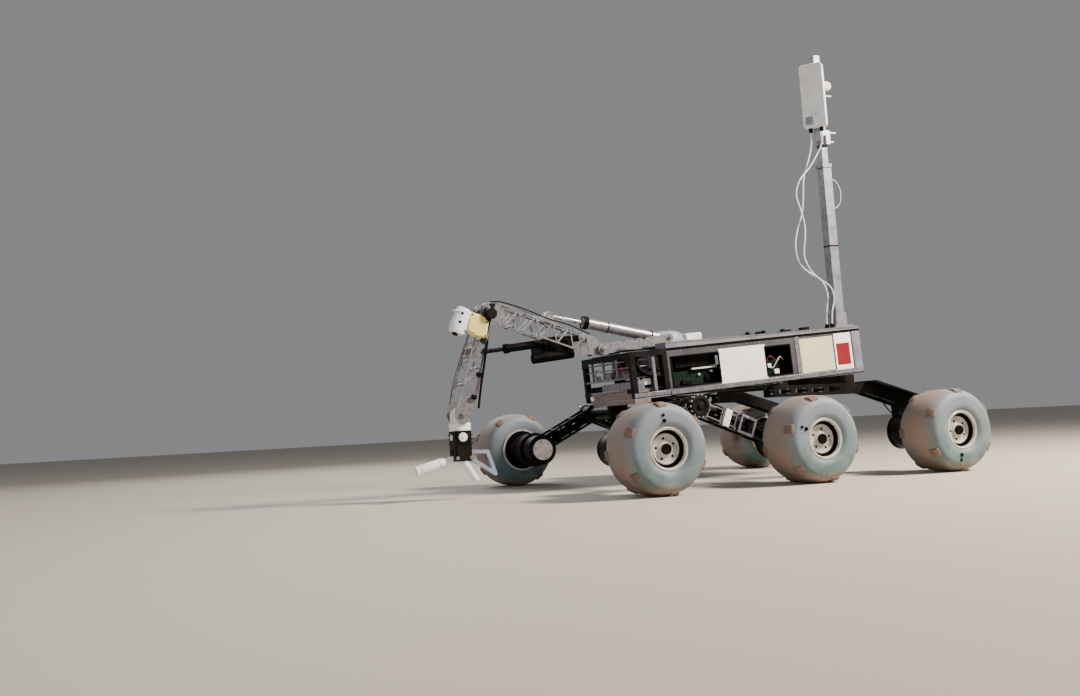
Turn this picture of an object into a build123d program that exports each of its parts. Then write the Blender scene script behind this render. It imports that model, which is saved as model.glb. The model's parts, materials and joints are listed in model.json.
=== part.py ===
from build123d import *
import math
import os

# Six-wheeled planetary rover prototype with a lattice arm, a gripper and an antenna mast.
# Millimetres. +X is forward, +Y is left, +Z is up, and the floor is at z = 0.
# Balloon beach tyres on plastic rims are driven by gearmotors inside the track. The front and
# middle wheels of each side hang on a bogie, and the rear wheels on bent legs under the body.
# The body is pitched nose-down, as it stands in use.

# Wheels
tyre_d = 300.0
tyre_w = 185.0
tyre_flats = 32             # flats round a tyre and its rim
track = 1210.0
axle_pitch = 609.0          # from each axle to the next
rim_r = 68.0                # to the corners of the rim's flats
rim_half_w = 80.0
rim_wall = 7.0
rim_recess = 20.0           # from the outer edge to the wheel's disc
disc_t = 8.0
hub_cap_r = 17.0
hub_cap_h = 12.0
disc_bolt_r = 45.0          # circle of the disc's bolt holes
disc_bolt_count = 4
disc_bolt_hole_r = 3.0
hub_r = 34.0
hub_flange_r = 85.0
hub_flange_t = 8.0
hub_reach = 11.0            # from the rim's inner edge to the flange
axle_r = 12.0
axle_in_motor = 34.0
axle_gap = 0.05             # radial running clearance of a wheel's axle
tyre_belly_r = 104.0        # radius at which the tyre is widest
tyre_roundness = 3.2        # power of the section's superellipse: 2 is an ellipse
tyre_bead_angle = 25.0      # below the widest place, where the section meets the bead
tyre_steps = 8              # straight pieces of the section
lug_count = 6               # on each shoulder
lug_axial = (50.0, 84.0)    # from the tyre's middle plane
lug_chord = 32.0
lug_root_r = 120.0
lug_sink = 1.0              # below the tread

# Gearmotors inside the wheels: how far each reaches in, from the middle of the rover
motor_r = 57.5
motor_inner_y = {"front": 300.0, "middle": 366.0, "rear": 366.0}
motor_gap = 5.0             # from the hub's flange
motor_bore_end = 2.0        # clearance behind the axle
end_plate_r = 41.0
end_plate_t = 8.0

# Bogies and rear legs: pairs of plates with spacers between
leg_plate_t = 6.0
leg_inner_y = 372.0
leg_w = 64.0
leg_spacer_r = 7.0
leg_bar = 60.0              # depth of a bogie's leg
leg_rib = 9.0               # metal left round a leg's windows
leg_windows = 4
bogie_pivot = (335.0, 284.0)     # from the middle axle, and above the ground
bogie_hub_r = 34.0
clamp_wall = 7.0
clamp_rim = 3.0             # how far the leg plates stand out from a clamp or hub
bogie_shaft_r = 15.0
pivot_cap_r = 38.0
pivot_cap_t = 16.0
shaft_sleeve_r = 24.0
hanger_y = (150.0, 174.0)
hanger_half_top = 45.0
hanger_half_low = 30.0
hanger_drop = 26.0          # below the pivot
rear_beam_top = 343.0
rear_beam_h = 40.0
rear_beam_front = 14.0      # places along X from the middle axle
rear_beam_bend = -400.0
rear_knee_z = 270.0         # top of the leg above the rear axle
rear_drop_half = 30.0
rear_windows = 5
rear_window = (52.0, 18.0)
rear_window_start = 50.0    # from the beam's front end
rear_cap_out = 64.0         # the sloping cover plate reaches out from the leg
rear_cap_t = 5.0
rail_w = 40.0
rail_places = (-30.0, -330.0)

# Body, in its own pitched frame: x from its middle, z from the floor's underside
body_pitch = 4.0
body_mid = -151.0           # from the middle axle
body_mid_z = 361.7
body_l = 900.0
body_half_w = 200.0
body_h = 175.0
floor_t = 4.0
panel_t = 3.0
profile_w = 20.0            # square frame profile
middle_post = 588.0         # from the body's front end
window_top = 34.0           # panel left above the windows
window_bottom = 29.0        # panel left below the windows
windows = ((14.0, 222.5), (434.0, 552.0))      # each from, to, back from the body's front end
seat_gap = 0.2              # between pieces that lie against each other
lid_h_front = 23.0
lid_h_rear = 12.0
lid_t = 3.0
gasket_h = 7.0
gasket_inset = 4.0
gasket_w = 20.0
deck_t = 4.0
deck_back = 234.0           # the plate under the turntable, back from the nose's front
deck_front = 5.0
deck_half_w = 118.0
deck_notch = 4.0            # clearance of the lid's notch round the deck
nose_l = 155.0
nose_beam_y = (30.0, 50.0)  # the two beams under the deck

# Boxes in the body and in the nose: each from, to along X, half width and height
battery_x = (50.0, 285.0)   # back from the body's front end
battery = (120.0, 92.0)
electronics_x = (330.0, 560.0)   # back from the body's front end
electronics = (150.0, 56.0)
computer_x = (56.0, 256.0)  # ahead of the body's rear end
computer = (140.0, 106.0)
shelf_heights = (34.0, 78.0)
shelf_t = 3.0
shelf_lip = 6.0
shelf_box = (30.0, 56.0)    # height and length of the box on the lower shelf
shelf_box_far = -53.0
driver_far = -140.0         # far end of the driver boxes, across the nose
driver_top = (100.0, 29.0)  # length and height of the box on the floor
driver_low = (66.0, 14.0)   # length and height of the box under the floor

# Turret: its axis stands square on the deck
yaw_back = 65.0             # from the nose's front
turntable_r = 40.0
turntable_h = 12.0
yaw_motor = (20.0, 60.0)    # radius and length of the motor under the deck
turret_plate_t = 6.0
turret_half_w = 47.0
turret_disc_r = 60.0
turret_disc_t = 6.0
turret_foot = (34.0, 18.0)  # of the plates' feet: from the axis, and above the disc
turret_holes = ((-90.0, 34.0), (-46.0, 32.0), (0.0, 28.0))   # from the axis, and above the disc
turret_hole_r = 9.0

# Arm: pivots in the plane y = 0, each from the middle of the turntable's foot
shoulder_at = (90.0, 17.0)
elbow_at = (544.0, 173.0)
wrist_at = (658.0, -203.0)
arm_pin_r = 8.0
arm_pin_gap = 0.05
arm_pin_head = 5.0          # a pin's reach outside the plates
arm_boss_r = 14.0
upper_half_w = 35.0
upper_plate_t = 4.0
upper_h = 70.0
upper_end_r = 23.0
upper_taper = 45.0          # from a pivot to the full depth
fore_half_w = 46.0
fore_plate_t = 4.0
fore_h_top = 44.0
fore_h_low = 64.0
chord = 6.0                 # metal left round the lattice
arm_spacer_r = 5.0

# Linear actuators: base pin and rod pin as above, tube radius and length, motor's drop
lift_base_at = (-200.0, 55.0)
lift_rod_at = (290.0, 150.0)
lift_tube_r = 21.0
lift_tube_l = 340.0
tilt_base_at = (170.0, 63.0)
tilt_rod_at = (575.0, 17.0)
tilt_tube_r = 15.0
tilt_tube_l = 290.0
tilt_motor_drop = 52.0
tilt_motor_r = 19.0
tilt_motor_l = 140.0
tilt_gear = (34.0, 24.0)    # place and length of the gearbox along the tube
lift_rod_inside = 130.0     # length of rod in the tube at rest
tilt_rod_inside = 116.0
tube_start = 26.0           # from the base pin
collar_wall = 3.0
collar_l = 14.0
rod_r = 8.0
rod_gap = 0.05
eye_r = 13.0
eye_half_w = 9.0
eye_neck = 10.0             # a rod's end in its eye, from the pin
base_eye_r = 12.0
ear_t = 5.0
ear_gap = 1.0
ear_r = 15.0
ear_half = 26.0             # from the pin to each of the ear's two bolts
base_pin_r = 6.0

# Box, motor and camera at the elbow: along and across the forearm, from the elbow
elbow_box_along = (58.0, 132.0)
elbow_box_across = (-28.0, 50.0)
elbow_box_t = 30.0
elbow_motor_at = (36.0, -6.0)
elbow_motor = (20.0, 48.0)  # radius and length
camera_size = (90.0, 54.0, 42.0)

# Wrist and gripper
wrist_half_w = 33.0
wrist_block_r = 24.0
wrist_disc_r = 37.0
wrist_disc_t = 26.0
wrist_drop = 32.0           # from the wrist's pivot to the disc
roll_gap = 0.3              # running gap under the turret and the gripper
grip_l = 107.0
grip_size = (62.0, 76.0)
grip_corner = 8.0
finger_pivot_drop = 12.0    # finger pivots above the gripper's lower face
finger_pivot_x = 26.0
finger_pin_r = 4.0
finger_slot = (64.0, 60.0)
slot_shift = 18.0           # of a slot's middle, out from the pivot
front_tip_at = (168.0, -194.0)   # from the wrist
fixed_tip_at = (-49.0, -235.0)
front_finger_r = (14.0, 19.0)    # at the root and at the tip
finger_root = 40.0          # from the pivot to the round part
fixed_finger_r = 13.0
fixed_finger_y = 25.0
slot_half = 7.0             # half width of the gripper's finger slots
finger_half = 6.0
# the claw's two bars, from its pivot: inner root, knee, tip, outer knee
claw_knuckle = (-16.0, 19.0)
claw_elbow = (-74.0, 17.0)
claw_knee = (-44.0, -26.0)
claw_tip = (-101.0, -64.0)
claw_bar = 13.0

# Mast and antenna: the mast leans forward a little
mast_lean = 1.13
mast_from_end = 60.0        # from the body's rear end
mast_from_side = 50.0
mast_low_w = 40.0
mast_up_w = 28.0
mast_wall = 2.5
mast_split_z = 1246.0
mast_top_z = 1696.0
mast_lap = 60.0
mast_collar = 14.0
mast_foot = (92.0, 84.0, 6.0)
mast_sleeve_h = 60.0
mast_sleeve_wall = 6.0
antenna_w = 92.0
antenna_h = 260.0
antenna_t = 32.0
antenna_corner = 10.0
antenna_mid_z = 1511.0
antenna_turn = 40.0         # from straight ahead to the left
antenna_stand_off = 58.0    # from the mast's face to the panel's back
clamp_heights = (52.0, -168.0)   # from the antenna's middle
clamp_h = 36.0
clamp_wall_t = 6.0
clamp_arm = 24.0
clamp_round_r = 21.5
antenna_strut = (5.0, 90.0) # thickness and height of the plate up the panel's back

# Antenna cables: x from the middle axle, y, z. Each starts in its socket under the antenna.
cable_d = 6.0
socket_r = 8.0
socket_h = 16.0
cable_gap = 0.1
socket_across = (-22.0, 22.0)
cable_drop = 55.0           # straight run out of a socket
cable_routes = (
    ((-400, 198, 1245), (-374, 190, 1175), (-370, 189, 1100), (-356, 193, 1030), (-330, 184, 962),
     (-312, 188, 893), (-334, 178, 828), (-387, 182, 788), (-446, 173, 768), (-476, 172, 705),
     (-458, 168, 643), (-458, 168, 582)),
    ((-428, 214, 1262), (-392, 212, 1212), (-344, 208, 1168), (-322, 200, 1108), (-336, 208, 1047),
     (-360, 200, 988), (-352, 205, 925), (-344, 196, 864), (-364, 200, 806), (-416, 192, 768),
     (-470, 197, 740), (-492, 187, 686), (-466, 190, 634), (-466, 190, 580)))

os.makedirs("parts", exist_ok=True)

# Places that follow from the sizes, as x from the middle axle and z
pitch = math.radians(body_pitch)
half_l = body_l / 2
nose_front = half_l + nose_l
yaw_x = nose_front - yaw_back
frame_y = body_half_w - panel_t - seat_gap
frame_top = body_h - gasket_h
table_low = body_h + deck_t


def body_to_row(x, z):
    """The place (x from the middle axle, z) of a point of the body's middle plane."""
    return (body_mid + x * math.cos(pitch) + z * math.sin(pitch),
            body_mid_z - x * math.sin(pitch) + z * math.cos(pitch))


def offset(place, step):
    return (place[0] + step[0], place[1] + step[1])


table_foot = body_to_row(yaw_x, table_low)
shoulder, elbow, wrist, lift_base, lift_rod, tilt_base, tilt_rod = (
    offset(table_foot, step) for step in
    (shoulder_at, elbow_at, wrist_at, lift_base_at, lift_rod_at, tilt_base_at, tilt_rod_at))

# The gripper's heights, from the wrist down, and its finger pivots
disc_top = wrist[1] - wrist_drop
grip_top = disc_top - wrist_disc_t - roll_gap
grip_low = grip_top - grip_l
front_pivot = (wrist[0] + finger_pivot_x, grip_low + finger_pivot_drop)
claw_pivot = (wrist[0] - finger_pivot_x, grip_low + finger_pivot_drop)
front_tip = offset(wrist, front_tip_at)
fixed_tip = offset(wrist, fixed_tip_at)

# The middle axle's place, which puts the origin under the middle of the whole length
rear_reach = axle_pitch + tyre_d / 2
front_drop = (front_pivot[1] - front_tip[1]) / math.dist(front_pivot, front_tip)
front_reach = front_tip[0] + front_finger_r[1] * front_drop
mid_axle_x = (rear_reach - front_reach) / 2


# Frames and small helpers

def row_x(x):
    """A place along X, given from the middle axle."""
    return mid_axle_x + x


def side_plane(y, origin=(0.0, 0.0), slope=0.0):
    """A plane facing right at y: its x runs forward, turned up by slope degrees."""
    a = math.radians(slope)
    return Plane(origin=(row_x(origin[0]), y, origin[1]),
                 x_dir=(math.cos(a), 0, math.sin(a)), z_dir=(0, -1, 0))


body_plane = Plane(origin=(row_x(body_mid), 0, body_mid_z),
                   x_dir=(math.cos(pitch), 0, -math.sin(pitch)),
                   z_dir=(math.sin(pitch), 0, math.cos(pitch)))


def body_side(y):
    """A plane facing right at y, in the body's pitched frame."""
    return Plane(origin=(row_x(body_mid), y, body_mid_z), x_dir=body_plane.x_dir, z_dir=(0, -1, 0))


def body_floor_z(x):
    """Height of the body's underside above the ground at x from the middle axle."""
    return body_mid_z - (x - body_mid) * math.tan(pitch)


def block(x, y, z):
    """A box from its three ranges."""
    with Locations(((x[0] + x[1]) / 2, (y[0] + y[1]) / 2, (z[0] + z[1]) / 2)):
        Box(abs(x[1] - x[0]), abs(y[1] - y[0]), abs(z[1] - z[0]))


def rod_along_y(place, radius, y_from, y_to, mode=Mode.ADD):
    """A cylinder along Y at a place (x from the middle axle, z)."""
    with Locations(side_plane(y_to, place)):
        Cylinder(radius, y_to - y_from, align=(Align.CENTER, Align.CENTER, Align.MIN), mode=mode)


def rod_across(s, place, radius, y_from, y_to, mode=Mode.ADD):
    """A cylinder along Y on the left (s = 1) or the right (s = -1)."""
    rod_along_y(place, radius, *sorted((s * y_from, s * y_to)), mode=mode)


def side_slab(s, place, y_from, y_to, slope=0.0):
    """The plane and thickness of a slab on the left or the right, for a sketch to extrude."""
    return side_plane(max(s * y_from, s * y_to), place, slope), abs(y_to - y_from)


def polar(a, b):
    """Distance and slope in degrees from place a to place b."""
    return math.dist(a, b), math.degrees(math.atan2(b[1] - a[1], b[0] - a[0]))


def along(origin, slope, x, y):
    """A place given along and across a line from origin with a slope in degrees."""
    a = math.radians(slope)
    return (origin[0] + x * math.cos(a) - y * math.sin(a), origin[1] + x * math.sin(a) + y * math.cos(a))


def local(origin, slope, place):
    """How far a place lies along and across a line from origin with a slope in degrees."""
    a = math.radians(slope)
    x, y = place[0] - origin[0], place[1] - origin[1]
    return (x * math.cos(a) + y * math.sin(a), y * math.cos(a) - x * math.sin(a))


def strap(a, b, width):
    """A flat bar with round ends between two places of the sketch."""
    length, slope = polar(a, b)
    with Locations(((a[0] + b[0]) / 2, (a[1] + b[1]) / 2)):
        SlotCenterToCenter(length, width, rotation=slope)


def save(part, name):
    part.label = name
    export_step(part, "parts/" + name + ".step")


sides = {"left": 1, "right": -1}
axles = {"front": axle_pitch, "middle": 0.0, "rear": -axle_pitch}
wheel_y = track / 2
axle_z = tyre_d / 2

# Wheels: a tyre and a rim for each axle end, cut into flats round the axle

def tyre_ring(step):
    """Axial place and radius on the tyre's section, a superellipse round the belly's radius."""
    t = math.radians(-tyre_bead_angle + step * (180.0 + 2 * tyre_bead_angle) / tyre_steps)
    power = 2.0 / tyre_roundness
    bulge = tyre_d / 2 - tyre_belly_r
    return (-math.copysign(abs(math.cos(t)) ** power, math.cos(t)) * tyre_w / 2,
            tyre_belly_r + math.copysign(abs(math.sin(t)) ** power, math.sin(t)) * bulge)


tyre_rings = [(-rim_half_w, rim_r)] + [tyre_ring(i) for i in range(tyre_steps + 1)] + [(rim_half_w, rim_r)]

# angle of the first lug on the outer shoulder, for each wheel
lug_phase = {"front": 24.0, "middle": 16.0, "rear": 28.0}
lug_top_r = tyre_d / 2 - lug_sink
flange_face = wheel_y - rim_half_w - hub_reach
motor_outer_y = flange_face - hub_flange_t - motor_gap
disc_face = wheel_y + rim_half_w - rim_recess


def flat_ring(radius):
    """A regular polygon about the axle, with flats at the bottom."""
    RegularPolygon(radius / math.cos(math.pi / tyre_flats), tyre_flats, rotation=180.0 / tyre_flats)


for side, s in sides.items():
    for axle, x in axles.items():
        centre = (x, axle_z)
        with BuildPart() as tyre:
            for y, r in tyre_rings:
                with BuildSketch(side_plane(s * wheel_y + y, centre)):
                    flat_ring(r)
            loft(ruled=True)
            with BuildSketch(side_plane(s * wheel_y + tyre_w / 2, centre)):
                flat_ring(rim_r)
            extrude(amount=tyre_w, mode=Mode.SUBTRACT)
            for shoulder_side in (1, -1):
                start = lug_phase[axle] + (0.0 if shoulder_side == 1 else 180.0 / lug_count)
                plane, depth = side_slab(s, centre, *(wheel_y + shoulder_side * a for a in lug_axial))
                with BuildSketch(plane):
                    with PolarLocations(0, lug_count, start_angle=start):
                        with Locations(((lug_root_r + lug_top_r) / 2, 0)):
                            Rectangle(lug_top_r - lug_root_r, lug_chord)
                extrude(amount=depth)
        save(tyre.part, "tyre_" + axle + "_" + side)

        with BuildPart() as rim:
            plane, depth = side_slab(s, centre, wheel_y - rim_half_w, wheel_y + rim_half_w)
            with BuildSketch(plane):
                flat_ring(rim_r)
            extrude(amount=depth)
            for y_from, y_to in ((disc_face, wheel_y + rim_half_w), (wheel_y - rim_half_w, disc_face - disc_t)):
                plane, depth = side_slab(s, centre, y_from, y_to)
                with BuildSketch(plane):
                    flat_ring(rim_r - rim_wall)
                extrude(amount=depth, mode=Mode.SUBTRACT)
            plane, depth = side_slab(s, centre, disc_face - disc_t, disc_face)
            with BuildSketch(plane):
                with PolarLocations(disc_bolt_r, disc_bolt_count, start_angle=45.0):
                    Circle(disc_bolt_hole_r)
            extrude(amount=depth, mode=Mode.SUBTRACT)
            rod_across(s, centre, hub_cap_r, disc_face - disc_t, disc_face + hub_cap_h)
            rod_across(s, centre, hub_r, flange_face, disc_face)
            plane, depth = side_slab(s, centre, flange_face - hub_flange_t, flange_face)
            with BuildSketch(plane):
                flat_ring(hub_flange_r)
            extrude(amount=depth)
            rod_across(s, centre, axle_r, motor_outer_y - axle_in_motor, flange_face)
        save(rim.part, "rim_" + axle + "_" + side)

# Gearmotors, one solid for each wheel, each bored for its wheel's axle
with BuildPart() as wheel_motors:
    for s in sides.values():
        for axle, x in axles.items():
            rod_across(s, (x, axle_z), motor_r, motor_inner_y[axle], motor_outer_y)
            rod_across(s, (x, axle_z), axle_r + axle_gap, motor_outer_y - axle_in_motor - motor_bore_end,
                       motor_outer_y, Mode.SUBTRACT)
save(wheel_motors.part, "wheel_motors")

with BuildPart() as motor_ends:
    for s in sides.values():
        for axle, x in axles.items():
            rod_across(s, (x, axle_z), end_plate_r, motor_inner_y[axle] - end_plate_t, motor_inner_y[axle])
save(motor_ends.part, "motor_end_plates")

# Bogies: two plates with windows in each leg, joined by spacers, clamped on two motors
leg_outer_y = leg_inner_y + leg_w
leg_plates = ((leg_inner_y, leg_inner_y + leg_plate_t), (leg_outer_y - leg_plate_t, leg_outer_y))
clamp_r = motor_r + clamp_wall
bogie_motors = [(axles[name], axle_z) for name in ("front", "middle")]


def leg_cells(length):
    """Places along a bogie's leg where its windows start, with the length of a window."""
    first, last = bogie_hub_r + clamp_rim + leg_rib, length - clamp_r - clamp_rim - leg_rib
    step = (last - first + leg_rib) / leg_windows
    return [first + i * step for i in range(leg_windows)], step - leg_rib


for side, s in sides.items():
    with BuildPart() as bogie:
        for y_from, y_to in leg_plates:
            for motor_place in bogie_motors:
                length, slope = polar(bogie_pivot, motor_place)
                starts, cell = leg_cells(length)
                plane, depth = side_slab(s, bogie_pivot, y_from, y_to, slope)
                with BuildSketch(plane):
                    with Locations((length / 2, 0)):
                        Rectangle(length, leg_bar)
                    Circle(bogie_hub_r + clamp_rim)
                    with Locations((length, 0)):
                        Circle(clamp_r + clamp_rim)
                    for start in starts:
                        with Locations((start + cell / 2, 0)):
                            RectangleRounded(cell, leg_bar - 2 * leg_rib, leg_rib / 2, mode=Mode.SUBTRACT)
                extrude(amount=depth)
        for motor_place in bogie_motors:
            length, slope = polar(bogie_pivot, motor_place)
            starts, cell = leg_cells(length)
            for start in starts[1::2]:
                for across in (leg_bar / 2 - leg_spacer_r, leg_spacer_r - leg_bar / 2):
                    rod_across(s, along(bogie_pivot, slope, start - leg_rib / 2, across), leg_spacer_r,
                               leg_inner_y, leg_outer_y)
            rod_across(s, motor_place, clamp_r, leg_inner_y, leg_outer_y)
        rod_across(s, bogie_pivot, bogie_hub_r, leg_inner_y, leg_outer_y)
        for motor_place in bogie_motors:
            rod_across(s, motor_place, motor_r + seat_gap / 2, leg_inner_y, leg_outer_y, Mode.SUBTRACT)
        rod_across(s, bogie_pivot, bogie_shaft_r + seat_gap / 2, leg_inner_y, leg_outer_y, Mode.SUBTRACT)
    save(bogie.part, "bogie_" + side)

# Shaft that carries both bogies, with its round end caps, and the hangers under the body
with BuildPart() as shaft:
    rod_along_y(bogie_pivot, bogie_shaft_r, -leg_outer_y, leg_outer_y)
    for s in sides.values():
        rod_across(s, bogie_pivot, pivot_cap_r, leg_outer_y, leg_outer_y + pivot_cap_t)
        rod_across(s, bogie_pivot, shaft_sleeve_r, hanger_y[1], leg_inner_y)
save(shaft.part, "bogie_shaft")

# Cross members under the floor: hangers for the shaft, and two rails that carry the rear legs
with BuildPart() as cross_members:
    for s in sides.values():
        plane, depth = side_slab(s, (0.0, 0.0), *hanger_y)
        with BuildSketch(plane):
            with BuildLine():
                Polyline(*((bogie_pivot[0] + x, body_floor_z(bogie_pivot[0] + x))
                           for x in (-hanger_half_top, hanger_half_top)),
                         (bogie_pivot[0] + hanger_half_low, bogie_pivot[1] - hanger_drop),
                         (bogie_pivot[0] - hanger_half_low, bogie_pivot[1] - hanger_drop), close=True)
            make_face()
            with Locations(bogie_pivot):
                Circle(bogie_shaft_r + seat_gap / 2, mode=Mode.SUBTRACT)
        extrude(amount=depth)
    for x in rail_places:
        with BuildSketch(side_plane(leg_outer_y)):
            with BuildLine():
                Polyline((x - rail_w / 2, rear_beam_top), (x + rail_w / 2, rear_beam_top),
                         (x + rail_w / 2, body_floor_z(x + rail_w / 2)),
                         (x - rail_w / 2, body_floor_z(x - rail_w / 2)), close=True)
            make_face()
        extrude(amount=2 * leg_outer_y)
save(cross_members.part, "cross_members")

# Rear legs: a level beam under the body, a sloping stretch and a drop to the rear motor
rear_x = axles["rear"]
rear_low = rear_beam_top - rear_beam_h
knee = (rear_x - rear_drop_half, rear_knee_z)
slope_l, slope_a = polar((rear_beam_bend, rear_beam_top), knee)
slope_low = along(knee, slope_a, -2 * rear_drop_half, rear_beam_h)
window_step = (rear_beam_front - rear_window_start - rear_beam_bend) / rear_windows
window_xs = [rear_beam_front - rear_window_start - i * window_step for i in range(rear_windows)]
rear_cap_y = leg_outer_y + rear_cap_out
for side, s in sides.items():
    with BuildPart() as leg:
        for y_from, y_to in leg_plates:
            plane, depth = side_slab(s, (0.0, 0.0), y_from, y_to)
            with BuildSketch(plane):
                with BuildLine():
                    Polyline((rear_beam_front, rear_beam_top), (rear_beam_bend, rear_beam_top), knee,
                             (knee[0], axle_z), (rear_x + rear_drop_half, axle_z),
                             slope_low, (rear_beam_bend, rear_low), (rear_beam_front, rear_low), close=True)
                make_face()
                with Locations((rear_x, axle_z)):
                    Circle(clamp_r + clamp_rim)
                with Locations(*((x, rear_beam_top - rear_beam_h / 2) for x in window_xs[:-1])):
                    RectangleRounded(*rear_window, leg_rib / 2, mode=Mode.SUBTRACT)
            extrude(amount=depth)
        for x in window_xs:
            rod_across(s, (x + window_step / 2, rear_beam_top - rear_beam_h / 2), leg_spacer_r,
                       leg_inner_y, leg_outer_y)
        for share in (0.15, 0.5, 0.85):
            rod_across(s, along((rear_beam_bend, rear_beam_top), slope_a, share * slope_l, rear_beam_h / 2),
                       leg_spacer_r, leg_inner_y, leg_outer_y)
        rod_across(s, (rear_x, axle_z), clamp_r, leg_inner_y, leg_outer_y)
        plane, depth = side_slab(s, (rear_beam_bend, rear_beam_top), leg_inner_y, rear_cap_y, slope_a)
        with BuildSketch(plane):
            with Locations((slope_l / 2, -rear_cap_t / 2)):
                Rectangle(slope_l, rear_cap_t)
        extrude(amount=depth)
        rod_across(s, (rear_x, axle_z), motor_r + seat_gap / 2, leg_inner_y, leg_outer_y, Mode.SUBTRACT)
    save(leg.part, "rear_leg_" + side)

# Body floor, frame, panels, lid
rear_post = profile_w / 2 + panel_t
post_xs = (-half_l + rear_post, half_l - middle_post, half_l - profile_w / 2)
with BuildPart(body_plane) as floor_plate:
    block((-half_l, nose_front), (-body_half_w, body_half_w), (0, floor_t))
save(floor_plate.part, "body_floor")

with BuildPart(body_plane) as body_frame:
    for x in post_xs:
        for s in sides.values():
            block((x - profile_w / 2, x + profile_w / 2),
                  (s * (frame_y - profile_w), s * frame_y), (floor_t, frame_top))
        block((x - profile_w / 2, x + profile_w / 2), (-frame_y, frame_y), (frame_top - profile_w, frame_top))
    for s in sides.values():
        block((-half_l + panel_t, half_l), (s * (frame_y - profile_w), s * frame_y),
              (frame_top - profile_w, frame_top))
        block((-half_l + gasket_inset, half_l - gasket_inset),
              (s * (body_half_w - gasket_inset - gasket_w), s * (body_half_w - gasket_inset)),
              (frame_top, body_h))
        end = s * (half_l - gasket_inset)
        block((end, end - s * gasket_w), (-body_half_w + gasket_inset, body_half_w - gasket_inset),
              (frame_top, body_h))
save(body_frame.part, "body_frame")

for side, s in sides.items():
    with BuildPart() as panel:
        with BuildSketch(body_side(max(s * (body_half_w - panel_t), s * body_half_w))):
            with Locations((0, (floor_t + frame_top) / 2)):
                Rectangle(body_l, frame_top - floor_t)
            for near, far in windows:
                with Locations((half_l - (near + far) / 2, (window_bottom + body_h - window_top) / 2)):
                    Rectangle(far - near, body_h - window_top - window_bottom, mode=Mode.SUBTRACT)
        extrude(amount=panel_t)
    save(panel.part, "side_panel_" + side)

with BuildPart(body_plane) as rear_panel:
    block((-half_l, -half_l + panel_t), (-frame_y, frame_y), (floor_t, frame_top))
save(rear_panel.part, "rear_panel")

with BuildPart() as lid:
    for inset, half_w, mode in ((0.0, body_half_w, Mode.ADD), (lid_t, body_half_w - lid_t, Mode.SUBTRACT)):
        with BuildSketch(body_side(half_w)):
            with BuildLine():
                Polyline((-half_l + inset, body_h), (half_l - inset, body_h),
                         (half_l - inset, body_h + lid_h_front - inset),
                         (-half_l + inset, body_h + lid_h_rear - inset), close=True)
            make_face()
        extrude(amount=2 * half_w, mode=mode)
    with Locations(body_plane):
        with Locations((nose_front - deck_back - deck_notch, 0, body_h)):
            Box(half_l, 2 * (deck_half_w + deck_notch), lid_h_front,
                align=(Align.MIN, Align.CENTER, Align.MIN), mode=Mode.SUBTRACT)
save(lid.part, "lid")

with BuildPart(body_plane) as deck:
    block((nose_front - deck_back, nose_front - deck_front), (-deck_half_w, deck_half_w),
          (body_h, body_h + deck_t))
save(deck.part, "turret_deck")

# Nose frame: a box of profiles ahead of the body, open at the front, which carries the turntable
nose_back = half_l + seat_gap
with BuildPart(body_plane) as nose:
    for x in (nose_front - profile_w, nose_back):
        for s in sides.values():
            block((x, x + profile_w), (s * (body_half_w - profile_w), s * body_half_w), (floor_t, body_h))
        block((x, x + profile_w), (-body_half_w, body_half_w), (body_h - profile_w, body_h))
    block((nose_back, nose_back + profile_w), (-body_half_w, body_half_w), (floor_t, floor_t + profile_w))
    for s in sides.values():
        for z_low in (body_h - profile_w, floor_t):
            block((nose_back, nose_front), (s * (body_half_w - profile_w), s * body_half_w),
                  (z_low, z_low + profile_w))
        block((nose_back, nose_front), (s * nose_beam_y[0], s * nose_beam_y[1]), (body_h - profile_w, body_h))
save(nose.part, "nose_frame")

# Shelves in the open nose, between its posts, with a box on the lower one
shelf_half_w = body_half_w - profile_w - seat_gap
shelf_back = nose_back + profile_w + seat_gap
with BuildPart(body_plane) as bay:
    for z in shelf_heights:
        block((shelf_back, nose_front), (-shelf_half_w, shelf_half_w), (z, z + shelf_t))
        block((nose_front - shelf_t, nose_front), (-shelf_half_w, shelf_half_w), (z, z + shelf_lip))
    block((nose_front - shelf_t - shelf_box[1], nose_front - shelf_t), (shelf_box_far, shelf_half_w),
          (shelf_heights[0] + shelf_t, shelf_heights[0] + shelf_t + shelf_box[0]))
save(bay.part, "arm_bay")

# Boxes: batteries, electronics and computer on the floor, and the drivers on and under the nose's floor
boxes = (("battery_box", (half_l - battery_x[1], half_l - battery_x[0]), battery),
         ("electronics_box", (half_l - electronics_x[1], half_l - electronics_x[0]), electronics),
         ("computer_box", (-half_l + computer_x[0], -half_l + computer_x[1]), computer))
for name, x_range, (half_w, height) in boxes:
    with BuildPart(body_plane) as box:
        block(x_range, (-half_w, half_w), (floor_t, floor_t + height))
    save(box.part, name)
with BuildPart(body_plane) as drivers:
    block((nose_front - driver_top[0], nose_front), (driver_far, shelf_half_w),
          (floor_t, floor_t + driver_top[1]))
    block((nose_front - driver_low[0], nose_front), (driver_far, body_half_w), (-driver_low[1], 0))
save(drivers.part, "driver_boxes")

# Turntable on the deck, and the turret with the pins of the shoulder and of the lift actuator
disc_low = table_low + turntable_h + roll_gap
disc_high = disc_low + turret_disc_t
turret_in = turret_half_w - turret_plate_t

with BuildPart(body_plane) as turntable:
    with Locations((yaw_x, 0, table_low)):
        Cylinder(turntable_r, turntable_h, align=(Align.CENTER, Align.CENTER, Align.MIN))
    with Locations((yaw_x, 0, body_h - seat_gap)):
        Cylinder(*yaw_motor, align=(Align.CENTER, Align.CENTER, Align.MAX))
save(turntable.part, "turntable")

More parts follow.
